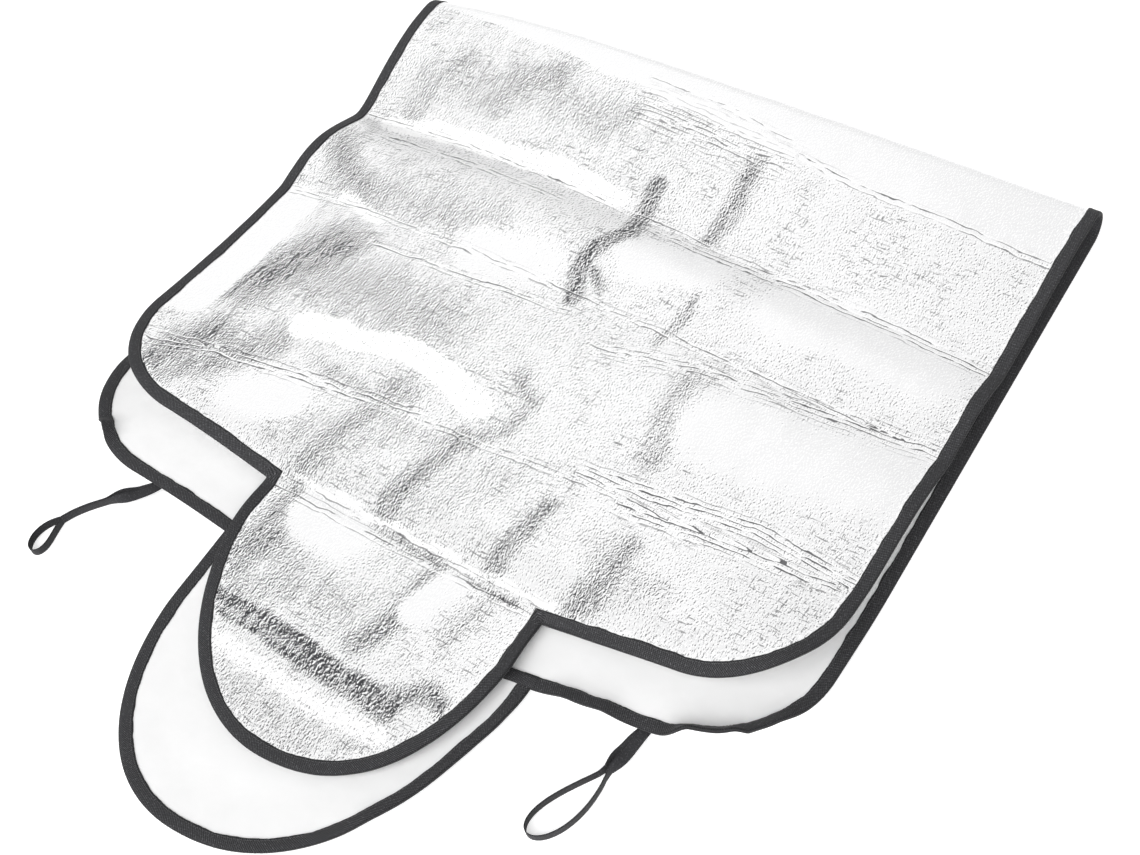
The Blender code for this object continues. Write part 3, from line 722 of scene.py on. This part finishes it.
def foil_material(looks):
    """Crinkled foil: bright, with painted dark reflections as fine dashes and streaks, painted
    glints and shine, and long cracks of painted shade at the creases.
    """
    shader = Shader("crinkled_foil", looks.foil, 0.34, 0.85)
    place = shader.stored("flat", "Vector")
    white = (1.0, 1.0, 1.0)

    # Painted shine with a speckled border, and painted dark reflection that is uneven and left out
    # of it
    specks = shader.noise(place, (330, 210, 1))
    shine = shader.plus(shader.stored("shine"), shader.times(specks, 3.2))
    shine = shader.ramp(shine, 2.08, 2.22)
    fray = shader.noise(place, (110, 50, 1), 4.0, 0.65)
    drape = shader.noise(place, (120, 13, 1), 2.0, 0.5)
    uneven = shader.plus(shader.times(fray, 1.1), shader.times(drape, 1.3))
    grain = shader.times(shader.stored("grain"), shader.less(uneven, 0.2))
    grain = shader.less(grain, shader.times(shine, 0.5))

    # Embossed ridges, with painted shade on their dark sides that widens with the painted dark
    # reflection, and painted glints on their bright sides
    fine = shader.slope(place, (480, 300, 1), 1.0, 0.3)
    coarse = shader.slope(place, (300, 185, 1), 2.0, 0.8)
    heavy = shader.ramp(grain, 0.75, 1.0)
    ridges = shader.plus(fine, shader.times(heavy, shader.less(coarse, fine)))
    cut = shader.less(0.184, shader.times(grain, 0.190))
    shaded_side = shader.ramp(shader.less(ridges, cut), -0.004, 0.011)
    glint = shader.ramp(ridges, -0.11, -0.08, 1.0, 0.0)

    # Broken lines of painted shade along the creases and cracks, each with a painted highlight
    # line beside it
    crackle = shader.stored("crackle")
    wobble = shader.noise(place, (16, 40, 1), 3.0)
    off = shader.plus(shader.stored("crack_offset"), shader.times(wobble, 0.016))
    turn = shader.math("FRACT", shader.math("DIVIDE", off, 0.0064))
    gaps = shader.noise(place, (24, 160, 1))
    broken = shader.times(shader.ramp(gaps, 0.42, 0.50), shader.times(crackle, 1.7))
    crack = shader.ramp(shader.apart(turn, 0.5), 0.08, 0.13, 1.0, 0.0)
    crack = shader.times(crack, broken, clamp=True)
    lit = shader.ramp(shader.apart(turn, 0.74), 0.06, 0.15, 1.0, 0.0)
    lit = shader.times(lit, shader.times(crackle, 1.3), clamp=True)

    # The foil darkened by the painted dark reflection and whitened by the painted glints and
    # shine, then the painted shade on the ridges' dark sides
    base = shader.blend(shader.ramp(grain, 0.2, 1.1, 0.0, 0.55), tuple(looks.foil), grey(0.42))
    base = shader.blend(shader.ramp(grain, 0.9, 1.3), base, grey(0.33))
    lift = shader.math("MINIMUM", shader.most(glint, shine), 1.0)
    base = shader.blend(lift, base, white)
    tone = shader.blend(shader.ramp(grain, 0.0, 0.6), grey(0.27), tuple(looks.crack))
    cloth = shader.blend(shaded_side, base, tone)

    # Painted dark hairlines across the dark reflection streaks, and a few short cracks of painted
    # crease shade both ways elsewhere
    hair = shader.ramp(shader.slope(place, (290, 44, 1), 1.5, 0.3), 0.088, 0.105)
    hair = shader.times(hair, shader.ramp(grain, 0.20, 0.45, 0.0, 0.42))
    cloth = shader.blend(hair, cloth, grey(0.20))
    creased = shader.ramp(shader.noise(place, (13, 11, 1)), 0.47, 0.56)
    creased = shader.times(creased, shader.ramp(gaps, 0.43, 0.50))
    creased = shader.times(creased, shader.ramp(grain, 0.0, 0.1, 0.0, 0.85))
    rows = shader.slope(place, (46, 260, 1), 2.5, 1.2, (0.1, 0.5, 0))
    columns = shader.slope(place, (250, 40, 1), 2.5, 1.2)
    short_crease_shade = shader.most(shader.ramp(rows, 0.13, 0.15), shader.ramp(columns, 0.16, 0.18))
    cloth = shader.blend(shader.times(short_crease_shade, creased), cloth, grey(0.22))

    # Painted highlight beside each crease line, then the painted shade of the line itself
    cloth = shader.blend(lit, cloth, white)
    cloth = shader.blend(shader.times(crack, 0.92), cloth, grey(0.09))
    shader.link(cloth, shader.surface.inputs["Base Color"])
    shader.link(shader.ramp(shaded_side, 0, 1, 0.32, 0.5), shader.surface.inputs["Roughness"])
    relief = shader.less(glint, shader.most(shaded_side, crack))
    shader.link(shader.bump(relief, 0.0002, 0.4), shader.surface.inputs["Normal"])
    return shader.material


def foam_material(looks):
    """The white face: closed-cell foam, smooth with a faint dimpled skin."""
    shader = Shader("white_foam", looks.foam, 0.62)
    place = shader.stored("flat", "Vector")
    cells = shader.noise(place, (900, 900, 1), 2.0, 0.5)
    soft = shader.noise(place, (40, 30, 1), 2.0, 0.5)
    tone = shader.blend(
        shader.ramp(soft, 0.3, 0.7), tinted(looks.foam, 0.985), tuple(looks.foam)
    )
    shader.link(tone, shader.surface.inputs["Base Color"])
    under = shader.bump(soft, 0.002, 0.4)
    shader.link(shader.bump(cells, 0.0002, 0.25, under), shader.surface.inputs["Normal"])
    return shader.material


def weave_material(name, base, rows, roughness, half=0.0):
    """Woven tape: a diagonal twill with flecks of lighter fibre, darker along its two edges."""
    shader = Shader(name, base, roughness)
    place = shader.stored("flat", "Vector")
    waves = []
    for turn, warp in ((38, 0.7), (-52, 0.9)):
        wave = shader.tree.nodes.new("ShaderNodeTexWave")
        wave.bands_direction = "X"
        threads = shader.stretched(place, (rows, rows, rows), math.radians(turn))
        shader.link(threads, wave.inputs["Vector"])
        wave.inputs["Scale"].default_value = 1.0
        wave.inputs["Distortion"].default_value = warp
        wave.inputs["Detail"].default_value = 1.0
        waves.append(wave.outputs["Fac"])
    fibre = shader.noise(place, (1300, 600, 1), turn=0.6)
    twill = shader.plus(shader.times(waves[0], 0.6), shader.times(waves[1], 0.4))
    tone = shader.plus(shader.times(twill, 0.5), shader.times(fibre, 0.5))
    cloth = shader.blend(shader.ramp(tone, 0.3, 0.7), tinted(base, 0.3), tinted(base, 1.9))
    flecks = shader.noise(place, (560, 430, 1), 1.0, turn=0.6)
    flecks = shader.times(shader.ramp(flecks, 0.58, 0.66), waves[0])
    cloth = shader.blend(shader.times(flecks, 0.7), cloth, tinted(base, 4.5))
    if half:
        parts = shader.tree.nodes.new("ShaderNodeSeparateXYZ")
        shader.link(place, parts.inputs[0])
        reach = shader.apart(shader.math("ABSOLUTE", parts.outputs[1]), half)
        edge = shader.ramp(reach, half * 0.72, half, 0.0, 0.65)
        cloth = shader.blend(edge, cloth, tinted(base, 0.25))
    shader.link(cloth, shader.surface.inputs["Base Color"])
    shader.surface.inputs["Sheen Weight"].default_value = 0.08
    shader.surface.inputs["Sheen Roughness"].default_value = 0.5
    shader.surface.inputs["Specular IOR Level"].default_value = 0.25
    shader.link(shader.bump(tone, 0.0005, 0.8), shader.surface.inputs["Normal"])
    return shader.material


class COVER_OT_stage(bpy.types.Operator):
    """Lays the white floor, hangs the soft light and sets the camera"""

    bl_idname = "cover.stage"
    bl_label = "Stage"

    def execute(self, context):
        looks = context.scene.cover_stage
        half = looks.floor_size / 2
        corners = [(-half, -half, 0), (half, -half, 0), (half, half, 0), (-half, half, 0)]
        white = Shader("white_floor", looks.floor, 0.9)
        white.surface.inputs["Specular IOR Level"].default_value = 0.0
        white.surface.inputs["Emission Color"].default_value = (1, 1, 1, 1)
        glow = white.times(white.seen(), looks.floor_glow)
        white.link(glow, white.surface.inputs["Emission Strength"])
        floor = add_mesh("floor", corners, [(0, 1, 2, 3)], [white.material])
        floor.location.z = -looks.floor_gap
        world = bpy.data.worlds.new("white_studio")
        context.scene.world = world
        world.use_nodes = True
        sky = Nodes(world.node_tree)
        background = sky.tree.nodes["Background"]
        background.inputs["Color"].default_value = (1, 1, 1, 1)
        strength = sky.ramp(sky.seen(), 0.0, 1.0, looks.sky, 1.0)
        sky.link(strength, background.inputs["Strength"])
        sun = bpy.data.lights.new("soft_key", "SUN")
        sun.energy = looks.key
        sun.angle = looks.key_spread
        key = self.hang("soft_key", sun, (0, 0, 0), KEY_WAY)
        key.visible_glossy = False
        back = bpy.data.lights.new("soft_back", "AREA")
        back.shape = "DISK"
        back.size = looks.back_size
        back.energy = looks.back
        self.hang("soft_back", back, BACK_PLACE, Vector(BACK_TARGET) - Vector(BACK_PLACE))
        camera = bpy.data.cameras.new("camera")
        camera.lens = looks.lens * 1000
        camera.sensor_width = 36
        eye = bpy.data.objects.new("camera", camera)
        forward = Vector(CAMERA_FORWARD).normalized()
        right = forward.cross(Vector(CAMERA_UP)).normalized()
        turn = Matrix((right, right.cross(forward), -forward)).transposed().to_4x4()
        eye.matrix_world = Matrix.Translation(CAMERA_PLACE) @ turn
        context.scene.collection.objects.link(eye)
        context.scene.camera = eye
        context.scene.view_settings.view_transform = "Standard"
        return {"FINISHED"}

    def hang(self, name, light, place, way):
        """Puts a lamp in its place, shining that way."""
        lamp = bpy.data.objects.new(name, light)
        lamp.location = place
        lamp.rotation_euler = Vector(way).to_track_quat("-Z", "Y").to_euler()
        bpy.context.scene.collection.objects.link(lamp)
        return lamp


class COVER_OT_sheet(bpy.types.Operator):
    """Makes the foil-faced foam sheet, folded in half with its crinkles"""

    bl_idname = "cover.sheet"
    bl_label = "Foil and foam sheet"

    def execute(self, context):
        looks = context.scene.cover_looks
        cover = Cover(context.scene)
        points = cover.outline(looks.edge_step)
        edge = np.stack(cover.lay(*points.T), 1)
        rim = np.stack(cover.lay(*inset(points, cover.tape_thickness + cover.seat_gap).T), 1)
        bound = np.stack(cover.lay(*inset(points, cover.tape_width).T), 1)
        lattice = self.lattice(cover, looks, bound)
        count = len(bound)
        ring = [(i, (i + 1) % count) for i in range(count)]
        flat = np.concatenate([bound, lattice])
        found = delaunay_2d_cdt([Vector(p) for p in flat], ring, [], 1, 1e-7)
        if len(found[0]) != len(flat):
            raise RuntimeError("the sheet's points changed while they were joined up")
        triangles = [tuple(count + i for i in face) for face in found[2]]
        for i in range(count):
            j = (i + 1) % count
            triangles += [(i, j, count + j), (i, count + j, count + i)]
        flat = np.concatenate([rim, flat])
        x, run = flat.T
        middle, normal = cover.surface(x, run)
        away, inwards = distances(flat, edge)
        inwards[: 2 * count] = np.concatenate([inward_ways(rim), inward_ways(bound)])
        sink = smooth((away - cover.tape_width) / SETTLE_FROM_BINDING)
        sink *= (cover.tape_outside - cover.half_sheet) * smooth(-run / SETTLE_FROM_FOLD)
        sink[: 2 * count] = 0
        middle[:, 2] -= sink
        middle -= normal * cover.relief(x, run)[:, None]
        middle, normal = cover.roll_up(middle, normal, x, run, away, inwards)
        white = middle + normal * cover.half_sheet
        foil = middle - normal * cover.half_sheet
        size = len(flat)
        faces = list(triangles) + [tuple(size + i for i in reversed(f)) for f in triangles]
        for i in range(count):
            j = (i + 1) % count
            faces += [(size + i, size + j, i), (size + j, j, i)]
        slots = [1] * len(triangles) + [0] * (len(faces) - len(triangles))
        materials = (foil_material(looks), foam_material(looks))
        piece = add_mesh("foil_cover", np.concatenate([white, foil]), faces, materials, slots)
        across, along = cover.unlay(x, run)
        place = np.stack([across, along, np.zeros(size)], 1)
        other = place + (0, 0, 1)
        add_values(piece.data, "flat", np.concatenate([place, other]))
        # Stores the painted dark reflection, the painted crease shade and highlight with its
        # offset across each line, and the painted shine
        found = foil_marks(cover, x, run, middle, away)
        for name, values in zip(("grain", "crackle", "crack_offset", "shine"), found):
            add_values(piece.data, name, np.concatenate([values, values]))
        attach(piece, "root")
        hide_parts("cover_sheet")
        return {"FINISHED"}

    def lattice(self, cover, looks, ring):
        """Evenly spaced points inside the bound edge, finer on the upper half."""
        low, high = ring.min(0), ring.max(0)
        border = -0.02  # the finer part begins just before the roll
        parts = []
        for step, start, end in (
            (looks.lower_step, low[1], border),
            (looks.upper_step, border, high[1]),
        ):
            rows = np.arange(start + step / 2, end, step * ROW_SHARE)
            for k, run in enumerate(rows):
                x = np.arange(low[0] + step / 2 * (k % 2), high[0], step)
                parts.append(np.stack([x, np.full(len(x), run)], 1))
        points = np.concatenate(parts)
        points = points[inside(points, ring)]
        return points[distances(points, ring)[0] > LATTICE_MARGIN]


def route_distance(points, route):
    """Distance in plan to a line of straight stretches, and how far ahead of it in Y."""
    nearest = np.full(len(points), 1e9)
    offset = np.zeros(len(points))
    for start, end in zip(np.array(route[:-1]), np.array(route[1:])):
        ahead = end - start
        part = np.clip(((points - start) @ ahead) / (ahead @ ahead), 0, 1)
        away = points - start - part[:, None] * ahead
        reach = np.linalg.norm(away, axis=1)
        offset = np.where(reach < nearest, away[:, 1], offset)
        nearest = np.minimum(nearest, reach)
    return nearest, offset


def marks(points, strokes, edge=2.0):
    """Strength of a list of strokes at each point; a higher edge is a crisper border."""
    found = np.zeros(len(points))
    for half_width, strength, route in strokes:
        away = route_distance(points, route)[0] / half_width
        crisp = edge * 3 if strength > CRISP_STRENGTH else edge
        found = np.maximum(found, strength * np.exp(-0.7 * away**crisp))
    return found


def foil_marks(cover, x, run, middle, away):
    """How much painted dark reflection, painted crease shade and highlight, and painted shine the
    foil gets at each point.

    The painted dark reflection is general, finer to the right and stronger at the ear's tip, and
    is darkest in the streaks. It is left out of the smooth panels and of the plain panel over the
    fold. The white fringe beside the binding is a painted highlight.
    """
    past = run - math.pi * cover.roll_radius(x)
    seeds = (3.5, 13.5)
    ragged = [
        [noise.noise((a * RAGGED_WAVES, b * RAGGED_WAVES, seed)) for seed in seeds]
        for a, b in middle[:, :2]
    ]
    plan = middle[:, :2] + RAGGED_REACH * np.array(ragged)
    top = past > -0.05
    # Painted highlight: a white fringe on the foil along the binding's inner edge, added to the
    # shine
    rim = np.exp(-(((away - cover.tape_width) / 0.007) ** 2))
    shine = np.maximum(marks(plan, HIGHLIGHT_STRIPES, 3.0), 0.5 * rim)
    smoothed = marks(plan, SMOOTH_PANELS, 3.0)
    # Painted dark reflection over the whole upper half, weaker to the right and stronger at the
    # ear's tip
    general = 0.25 - 0.12 * smooth((x + 0.05) / 0.25)
    general = general + 0.14 * smooth((-plan[:, 1] - 0.53) / 0.03)
    panel_edge = mix(0.372, 0.280, smooth(x / cover.width + 0.5))
    panel = smooth((plan[:, 1] - panel_edge) / 0.012)
    grain = np.maximum(marks(plan, DARK_REFLECTION_STREAKS), general) * (1 - panel) * (1 - smoothed)
    grain = grain - 1.6 * np.maximum(panel, smoothed)
    # Painted crease shade and highlight along the listed crease lines and each valley crease
    crackle = np.zeros(len(x))
    offset = np.zeros(len(x))
    lines = []
    for half_width, strength, route in PAINTED_CREASE_LINES:
        lines.append((half_width, strength, *route_distance(middle[:, :2], route)))
    for row in CREASE_ROWS:
        if row[0]:
            off = cover.crease_run(row, x) - past
            lines.append((0.006, 0.6, np.abs(off), off))
    for half_width, strength, reach, ahead in lines:
        found = strength * np.exp(-((reach / half_width) ** 2))
        offset = np.where(found > crackle, ahead, offset)
        crackle = np.maximum(crackle, found)
    return np.where(top, grain, 0.2), crackle * top, offset, np.where(top, shine, 0.0)


class COVER_OT_binding(bpy.types.Operator):
    """Folds the woven binding over the whole edge"""

    bl_idname = "cover.binding"
    bl_label = "Binding"

    def execute(self, context):
        looks, trim = context.scene.cover_looks, context.scene.cover_trim
        cover = Cover(context.scene)
        points = cover.outline(looks.edge_step)
        inner, outer = cover.tape_inside, cover.tape_outside
        width, thick = cover.tape_width, cover.tape_thickness
        soft = thick * 0.5
        # How far in from the cut, and how far from the sheet's middle, the tape's skin runs
        section = [(width, inner), (width, outer - soft), (width - soft, outer)]
        section += [(width * 0.7, outer), (width * 0.35, outer), (0.0016, outer)]
        section += [(0.0004, outer * 0.72), (0.0, outer * 0.3)]
        section += [(d, -h) for d, h in reversed(section)]
        section += [(thick, -inner), (thick, inner)]
        uneven = np.random.default_rng(4).uniform(-trim.fray, trim.fray, len(points))
        uneven += [trim.wobble * noise.noise((x * 55, y * 55, 8.5)) for x, y in points]
        rings = []
        for distance, height in section:
            moved = inset(points, distance) if distance else points
            if distance > width * 0.9:
                moved = inset(points, distance + uneven)
            middle, normal = cover.edge_line(moved, distance)
            rings.append(middle + normal * height)
        rings = np.stack(rings, 1)
        stations, sides = rings.shape[:2]
        faces = tube_faces(stations, sides, closed=True)
        tape = weave_material("charcoal_twill", tuple(looks.tape), 170, 0.82, width / 2)
        piece = add_mesh("woven_binding", rings.reshape(-1, 3), faces, (tape,))
        gaps = np.linalg.norm(np.diff(points, axis=0, append=points[:1]), axis=1)
        travelled = np.concatenate([[0], np.cumsum(gaps)[:-1]])
        place = np.zeros((stations, sides, 3))
        place[:, :, 0] = travelled[:, None]
        place[:, :, 1] = np.array([math.copysign(width - d, h) for d, h in section])[None, :]
        add_values(piece.data, "flat", place.reshape(-1, 3))
        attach(piece, "root")
        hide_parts("edge_binding")
        return {"FINISHED"}


class COVER_OT_tail(bpy.types.Operator):
    """Runs the side edge's binding on over the lower ear's root, where it was sewn last"""

    bl_idname = "cover.tail"
    bl_label = "Binding tail"

    def execute(self, context):
        trim = context.scene.cover_trim
        cover = Cover(context.scene)
        steps = 24
        half_ear = cover.lower_ear_width / 2
        corner_x = cover.width / 2 - cover.corner_radius
        slope = math.atan2(cover.side_bow, corner_x - half_ear)
        root = np.array([half_ear, -cover.ear_root(cover.lower_ear_width)])
        along = np.array([-math.cos(slope), -math.sin(slope)])
        inwards = np.array([along[1], -along[0]])
        near, far = trim.tail_inset, cover.tape_width - trim.tail_inset
        under = cover.tape_outside + 0.0002
        over = under + cover.tape_thickness
        section = [(near, under), (near, over), (0.005, over), (0.010, over)]
        section += [(far, over), (far, under)]
        places, levels = [], []
        for travelled in np.linspace(0, trim.tail_length, steps + 1):
            start = root + along * (travelled - trim.tail_start)
            for distance, level in section:
                places.append(start + inwards * distance)
                levels.append(level)
        middle, normal = cover.crumpled(*cover.lay(*np.array(places).T))
        vertices = middle + normal * np.array(levels)[:, None]
        sides = len(section)
        faces = tube_faces(steps + 1, sides)
        tape = bpy.data.materials["charcoal_twill"]
        piece = add_mesh("binding_tail", vertices, faces, (tape,))
        place = np.zeros((len(vertices), 3))
        place[:, 0] = np.repeat(np.linspace(0, trim.tail_length, steps + 1), sides)
        place[:, 1] = np.tile([distance for distance, level in reversed(section)], steps + 1)
        add_values(piece.data, "flat", place)
        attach(piece, "root")
        return {"FINISHED"}


class COVER_OT_stitches(bpy.types.Operator):
    """Sews the binding down with a line of lock stitches on each face"""

    bl_idname = "cover.stitches"
    bl_label = "Binding stitches"

    def execute(self, context):
        looks, trim = context.scene.cover_looks, context.scene.cover_trim
        cover = Cover(context.scene)
        reach, thick = trim.stitch_length, trim.thread
        away = cover.tape_width - trim.stitch_inset
        line = inset(cover.outline(trim.stitch_pitch), away)
        middle, normal = cover.edge_line(line, away)
        ahead = np.roll(middle, -1, 0) - np.roll(middle, 1, 0)
        ahead /= np.linalg.norm(ahead, axis=1)[:, None]
        side = np.cross(ahead, normal)
        sides = 5
        rings = [(-0.5, 0.0, -0.9), (-0.30, 0.85, 0.0), (0.30, 0.85, 0.0), (0.5, 0.0, -0.9)]
        parts = []
        for face in (1, -1):
            level = middle + normal * face * (cover.tape_outside + thick * 0.35)
            for shift, girth, sink in rings:
                for k in range(sides if girth else 1):
                    a = 2 * math.pi * k / sides
                    spot = level + ahead * shift * reach + side * girth * thick * math.cos(a)
                    parts.append(spot + normal * face * thick * (girth * math.sin(a) + sink * 0.5))
        block = len(parts) // 2
        count = len(line)
        vertices = np.stack(parts, 1).reshape(count, 2, block, 3)
        faces = []
        one, two, last = 1, 1 + sides, 1 + 2 * sides
        for i in range(count):
            for face in range(2):
                start = (i * 2 + face) * block
                for k in range(sides):
                    m = (k + 1) % sides
                    ring = [(0, one + m, one + k), (last, two + k, two + m)]
                    ring.append((one + k, one + m, two + m, two + k))
                    for corner in ring:
                        corner = corner if face else corner[::-1]
                        faces.append(tuple(start + c for c in corner))
        thread = Shader("thread", tuple(looks.thread), 0.6).material
        piece = add_mesh("binding_stitches", vertices.reshape(-1, 3), faces, (thread,))
        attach(piece, "root")
        return {"FINISHED"}


def route_point(route, amount):
    """Point of a loop's route, a smooth curve from its root at (0, 0) to the last place."""
    a, b, c = (Vector(p) for p in route)
    rest = 1 - amount
    return 3 * rest * rest * amount * a + 3 * rest * amount * amount * b + amount**3 * c


class COVER_OT_loops(bpy.types.Operator):
    """Sews the two elastic loops under the lower side edge"""

    bl_idname = "cover.loops"
    bl_label = "Elastic loops"

    def execute(self, context):
        looks = context.scene.cover_looks
        sizes = context.scene.cover_loops
        cover = Cover(context.scene)
        band = weave_material("black_elastic", tuple(looks.elastic), 260, 0.78)
        loops = (
            ("left", -1, sizes.left_inset, LEFT_LOOP_ROUTE, sizes.left_eye, sizes.left_swell),
            ("right", 1, sizes.right_inset, RIGHT_LOOP_ROUTE, sizes.right_eye, sizes.right_swell),
        )
        for name, side, place, route, eye_length, swell in loops:
            piece = self.band(cover, sizes, name, side, place, route, eye_length, swell, band)
            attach(piece, "root")
            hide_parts("elastic_loop_" + name)
        return {"FINISHED"}

    def root(self, cover, sizes, side, place):
        """Point of the lower side edge, half under the binding, that far in from the side."""
        across = side * (cover.width / 2 - place)
        pieces = cover.end_pieces(cover.lower_ear_width, cover.lower_ear_length)
        line = np.concatenate(pieces[:2])[::-1]
        along = np.interp(abs(across), line[:, 0], line[:, 1])
        x, run = cover.lay(np.array([across]), np.array([-(along - sizes.seat)]))
        return Vector(cover.fold(x, run)[0])

    def band(self, cover, sizes, name, side, place, route, eye_length, swell, material):
        """One band from its root out along its route, round the eye and back."""
        root = self.root(cover, sizes, side, place)
        steps = 400
        line = [route_point(route, i / steps) for i in range(steps + 1)]
        gaps = [(b - a).length for a, b in zip(line, line[1:])]
        travelled = np.concatenate([[0], np.cumsum(gaps)])
        total = travelled[-1]
        eye_start = total - eye_length
        half_ply = (sizes.thickness + cover.seat_gap) / 2
        half_stack = half_ply + sizes.thickness / 2
        neck, turns = 60, 120
        stations = [(eye_start * i / neck, half_ply) for i in range(neck)]
        for i in range(turns + 1):
            a = 2 * math.pi * i / turns
            spread = half_ply * math.cos(a / 2) + swell * math.sin(a) * abs(math.sin(a / 2))
            stations.append((eye_start + eye_length * (1 - math.cos(a)) / 2, spread))
        stations += [(eye_start * (1 - i / neck), -half_ply) for i in range(1, neck + 1)]
        centres, widths = [], []
        for distance, spread in stations:
            amount = float(np.interp(distance, travelled, np.linspace(0, 1, steps + 1)))
            plan = route_point(route, amount)
            ahead = route_point(route, min(amount + 0.002, 1))
            ahead = (ahead - route_point(route, max(amount - 0.002, 0))).normalized()
            level = Vector((-ahead.y, ahead.x, 0))
            turned = (distance - sizes.twist_start) / (sizes.twist_end - sizes.twist_start)
            twist = math.pi / 2 * float(smooth(turned))
            held = 1 - float(smooth((distance - sizes.seat) / sizes.twist_end))
            middle = Vector((root.x + plan.x, root.y + plan.y, 0))
            one = middle + level * sizes.width / 2
            two = middle - level * sizes.width / 2
            rise, fall = (float(cover.lower_rise(end.x, end.y)) for end in (one, two))
            middle.z = sizes.width / 2 * math.sin(twist) + half_stack * math.cos(twist)
            middle.z += ((rise + fall) / 2 - cover.seat_gap - 2 * half_stack) * held
            level.z = (rise - fall) / sizes.width * held
            offset = level * math.sin(twist) + Vector((0, 0, math.cos(twist)))
            side_step = sizes.fan * math.sin(math.pi * min(distance / sizes.twist_end, 1))
            centres.append(middle + offset * spread + level * math.copysign(side_step, spread))
            widths.append(Vector((0, 0, math.sin(twist))) - level * math.cos(twist))
        half, thick = sizes.width / 2, sizes.thickness / 2
        section = [(half, 0.0), (half * 0.93, thick * 0.8), (half * 0.5, thick), (0.0, thick)]
        section += [(-w, t) for w, t in reversed(section[:3])]
        section += [(w, -t) for w, t in reversed(section[1:-1])]
        vertices, places = [], []
        last = len(centres) - 1
        along = 0.0
        for i, centre in enumerate(centres):
            ahead = (centres[min(i + 1, last)] - centres[max(i - 1, 0)]).normalized()
            width = (widths[i] - ahead * widths[i].dot(ahead)).normalized()
            normal = ahead.cross(width)
            along += (centre - centres[max(i - 1, 0)]).length
            for w, t in section:
                vertices.append(centre + width * w + normal * t)
                places.append((along, w, t))
        faces = tube_faces(len(centres), len(section))
        piece = add_mesh("loop_" + name, vertices, faces, (material,))
        add_values(piece.data, "flat", places)
        return piece


class COVER_PT_panel(bpy.types.Panel):
    """Lists the cover's pieces and the stage"""

    bl_idname = "COVER_PT_panel"
    bl_label = "Windshield Cover"
    bl_space_type = "VIEW_3D"
    bl_region_type = "UI"
    bl_category = "Cover"

    def draw(self, context):
        for operator in OPERATORS:
            self.layout.operator(operator.bl_idname)


GROUPS = {
    "cover_cut": CoverCut,
    "cover_lie": CoverLie,
    "cover_loops": LoopSizes,
    "cover_trim": TrimSizes,
    "cover_looks": CoverLooks,
    "cover_stage": StageLooks,
}
OPERATORS = (
    COVER_OT_stage,
    COVER_OT_sheet,
    COVER_OT_binding,
    COVER_OT_tail,
    COVER_OT_stitches,
    COVER_OT_loops,
)


def register():
    for name, group in GROUPS.items():
        bpy.utils.register_class(group)
        setattr(bpy.types.Scene, name, PointerProperty(type=group))
    for item in OPERATORS + (COVER_PT_panel,):
        bpy.utils.register_class(item)


def unregister():
    for item in reversed(OPERATORS + (COVER_PT_panel,)):
        bpy.utils.unregister_class(item)
    for name, group in reversed(GROUPS.items()):
        delattr(bpy.types.Scene, name)
        bpy.utils.unregister_class(group)


def declare_sheet():
    """Works out the flat cut's outline at a 0.01 step; nothing more is done with it."""
    points = Cover(bpy.context.scene).outline(0.01)


def main():
    register()
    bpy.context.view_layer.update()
    bpy.ops.cover.stage()
    bpy.ops.cover.sheet()
    bpy.ops.cover.binding()
    bpy.ops.cover.tail()
    bpy.ops.cover.stitches()
    bpy.ops.cover.loops()
    declare_sheet()


if __name__ == "__main__":
    main()
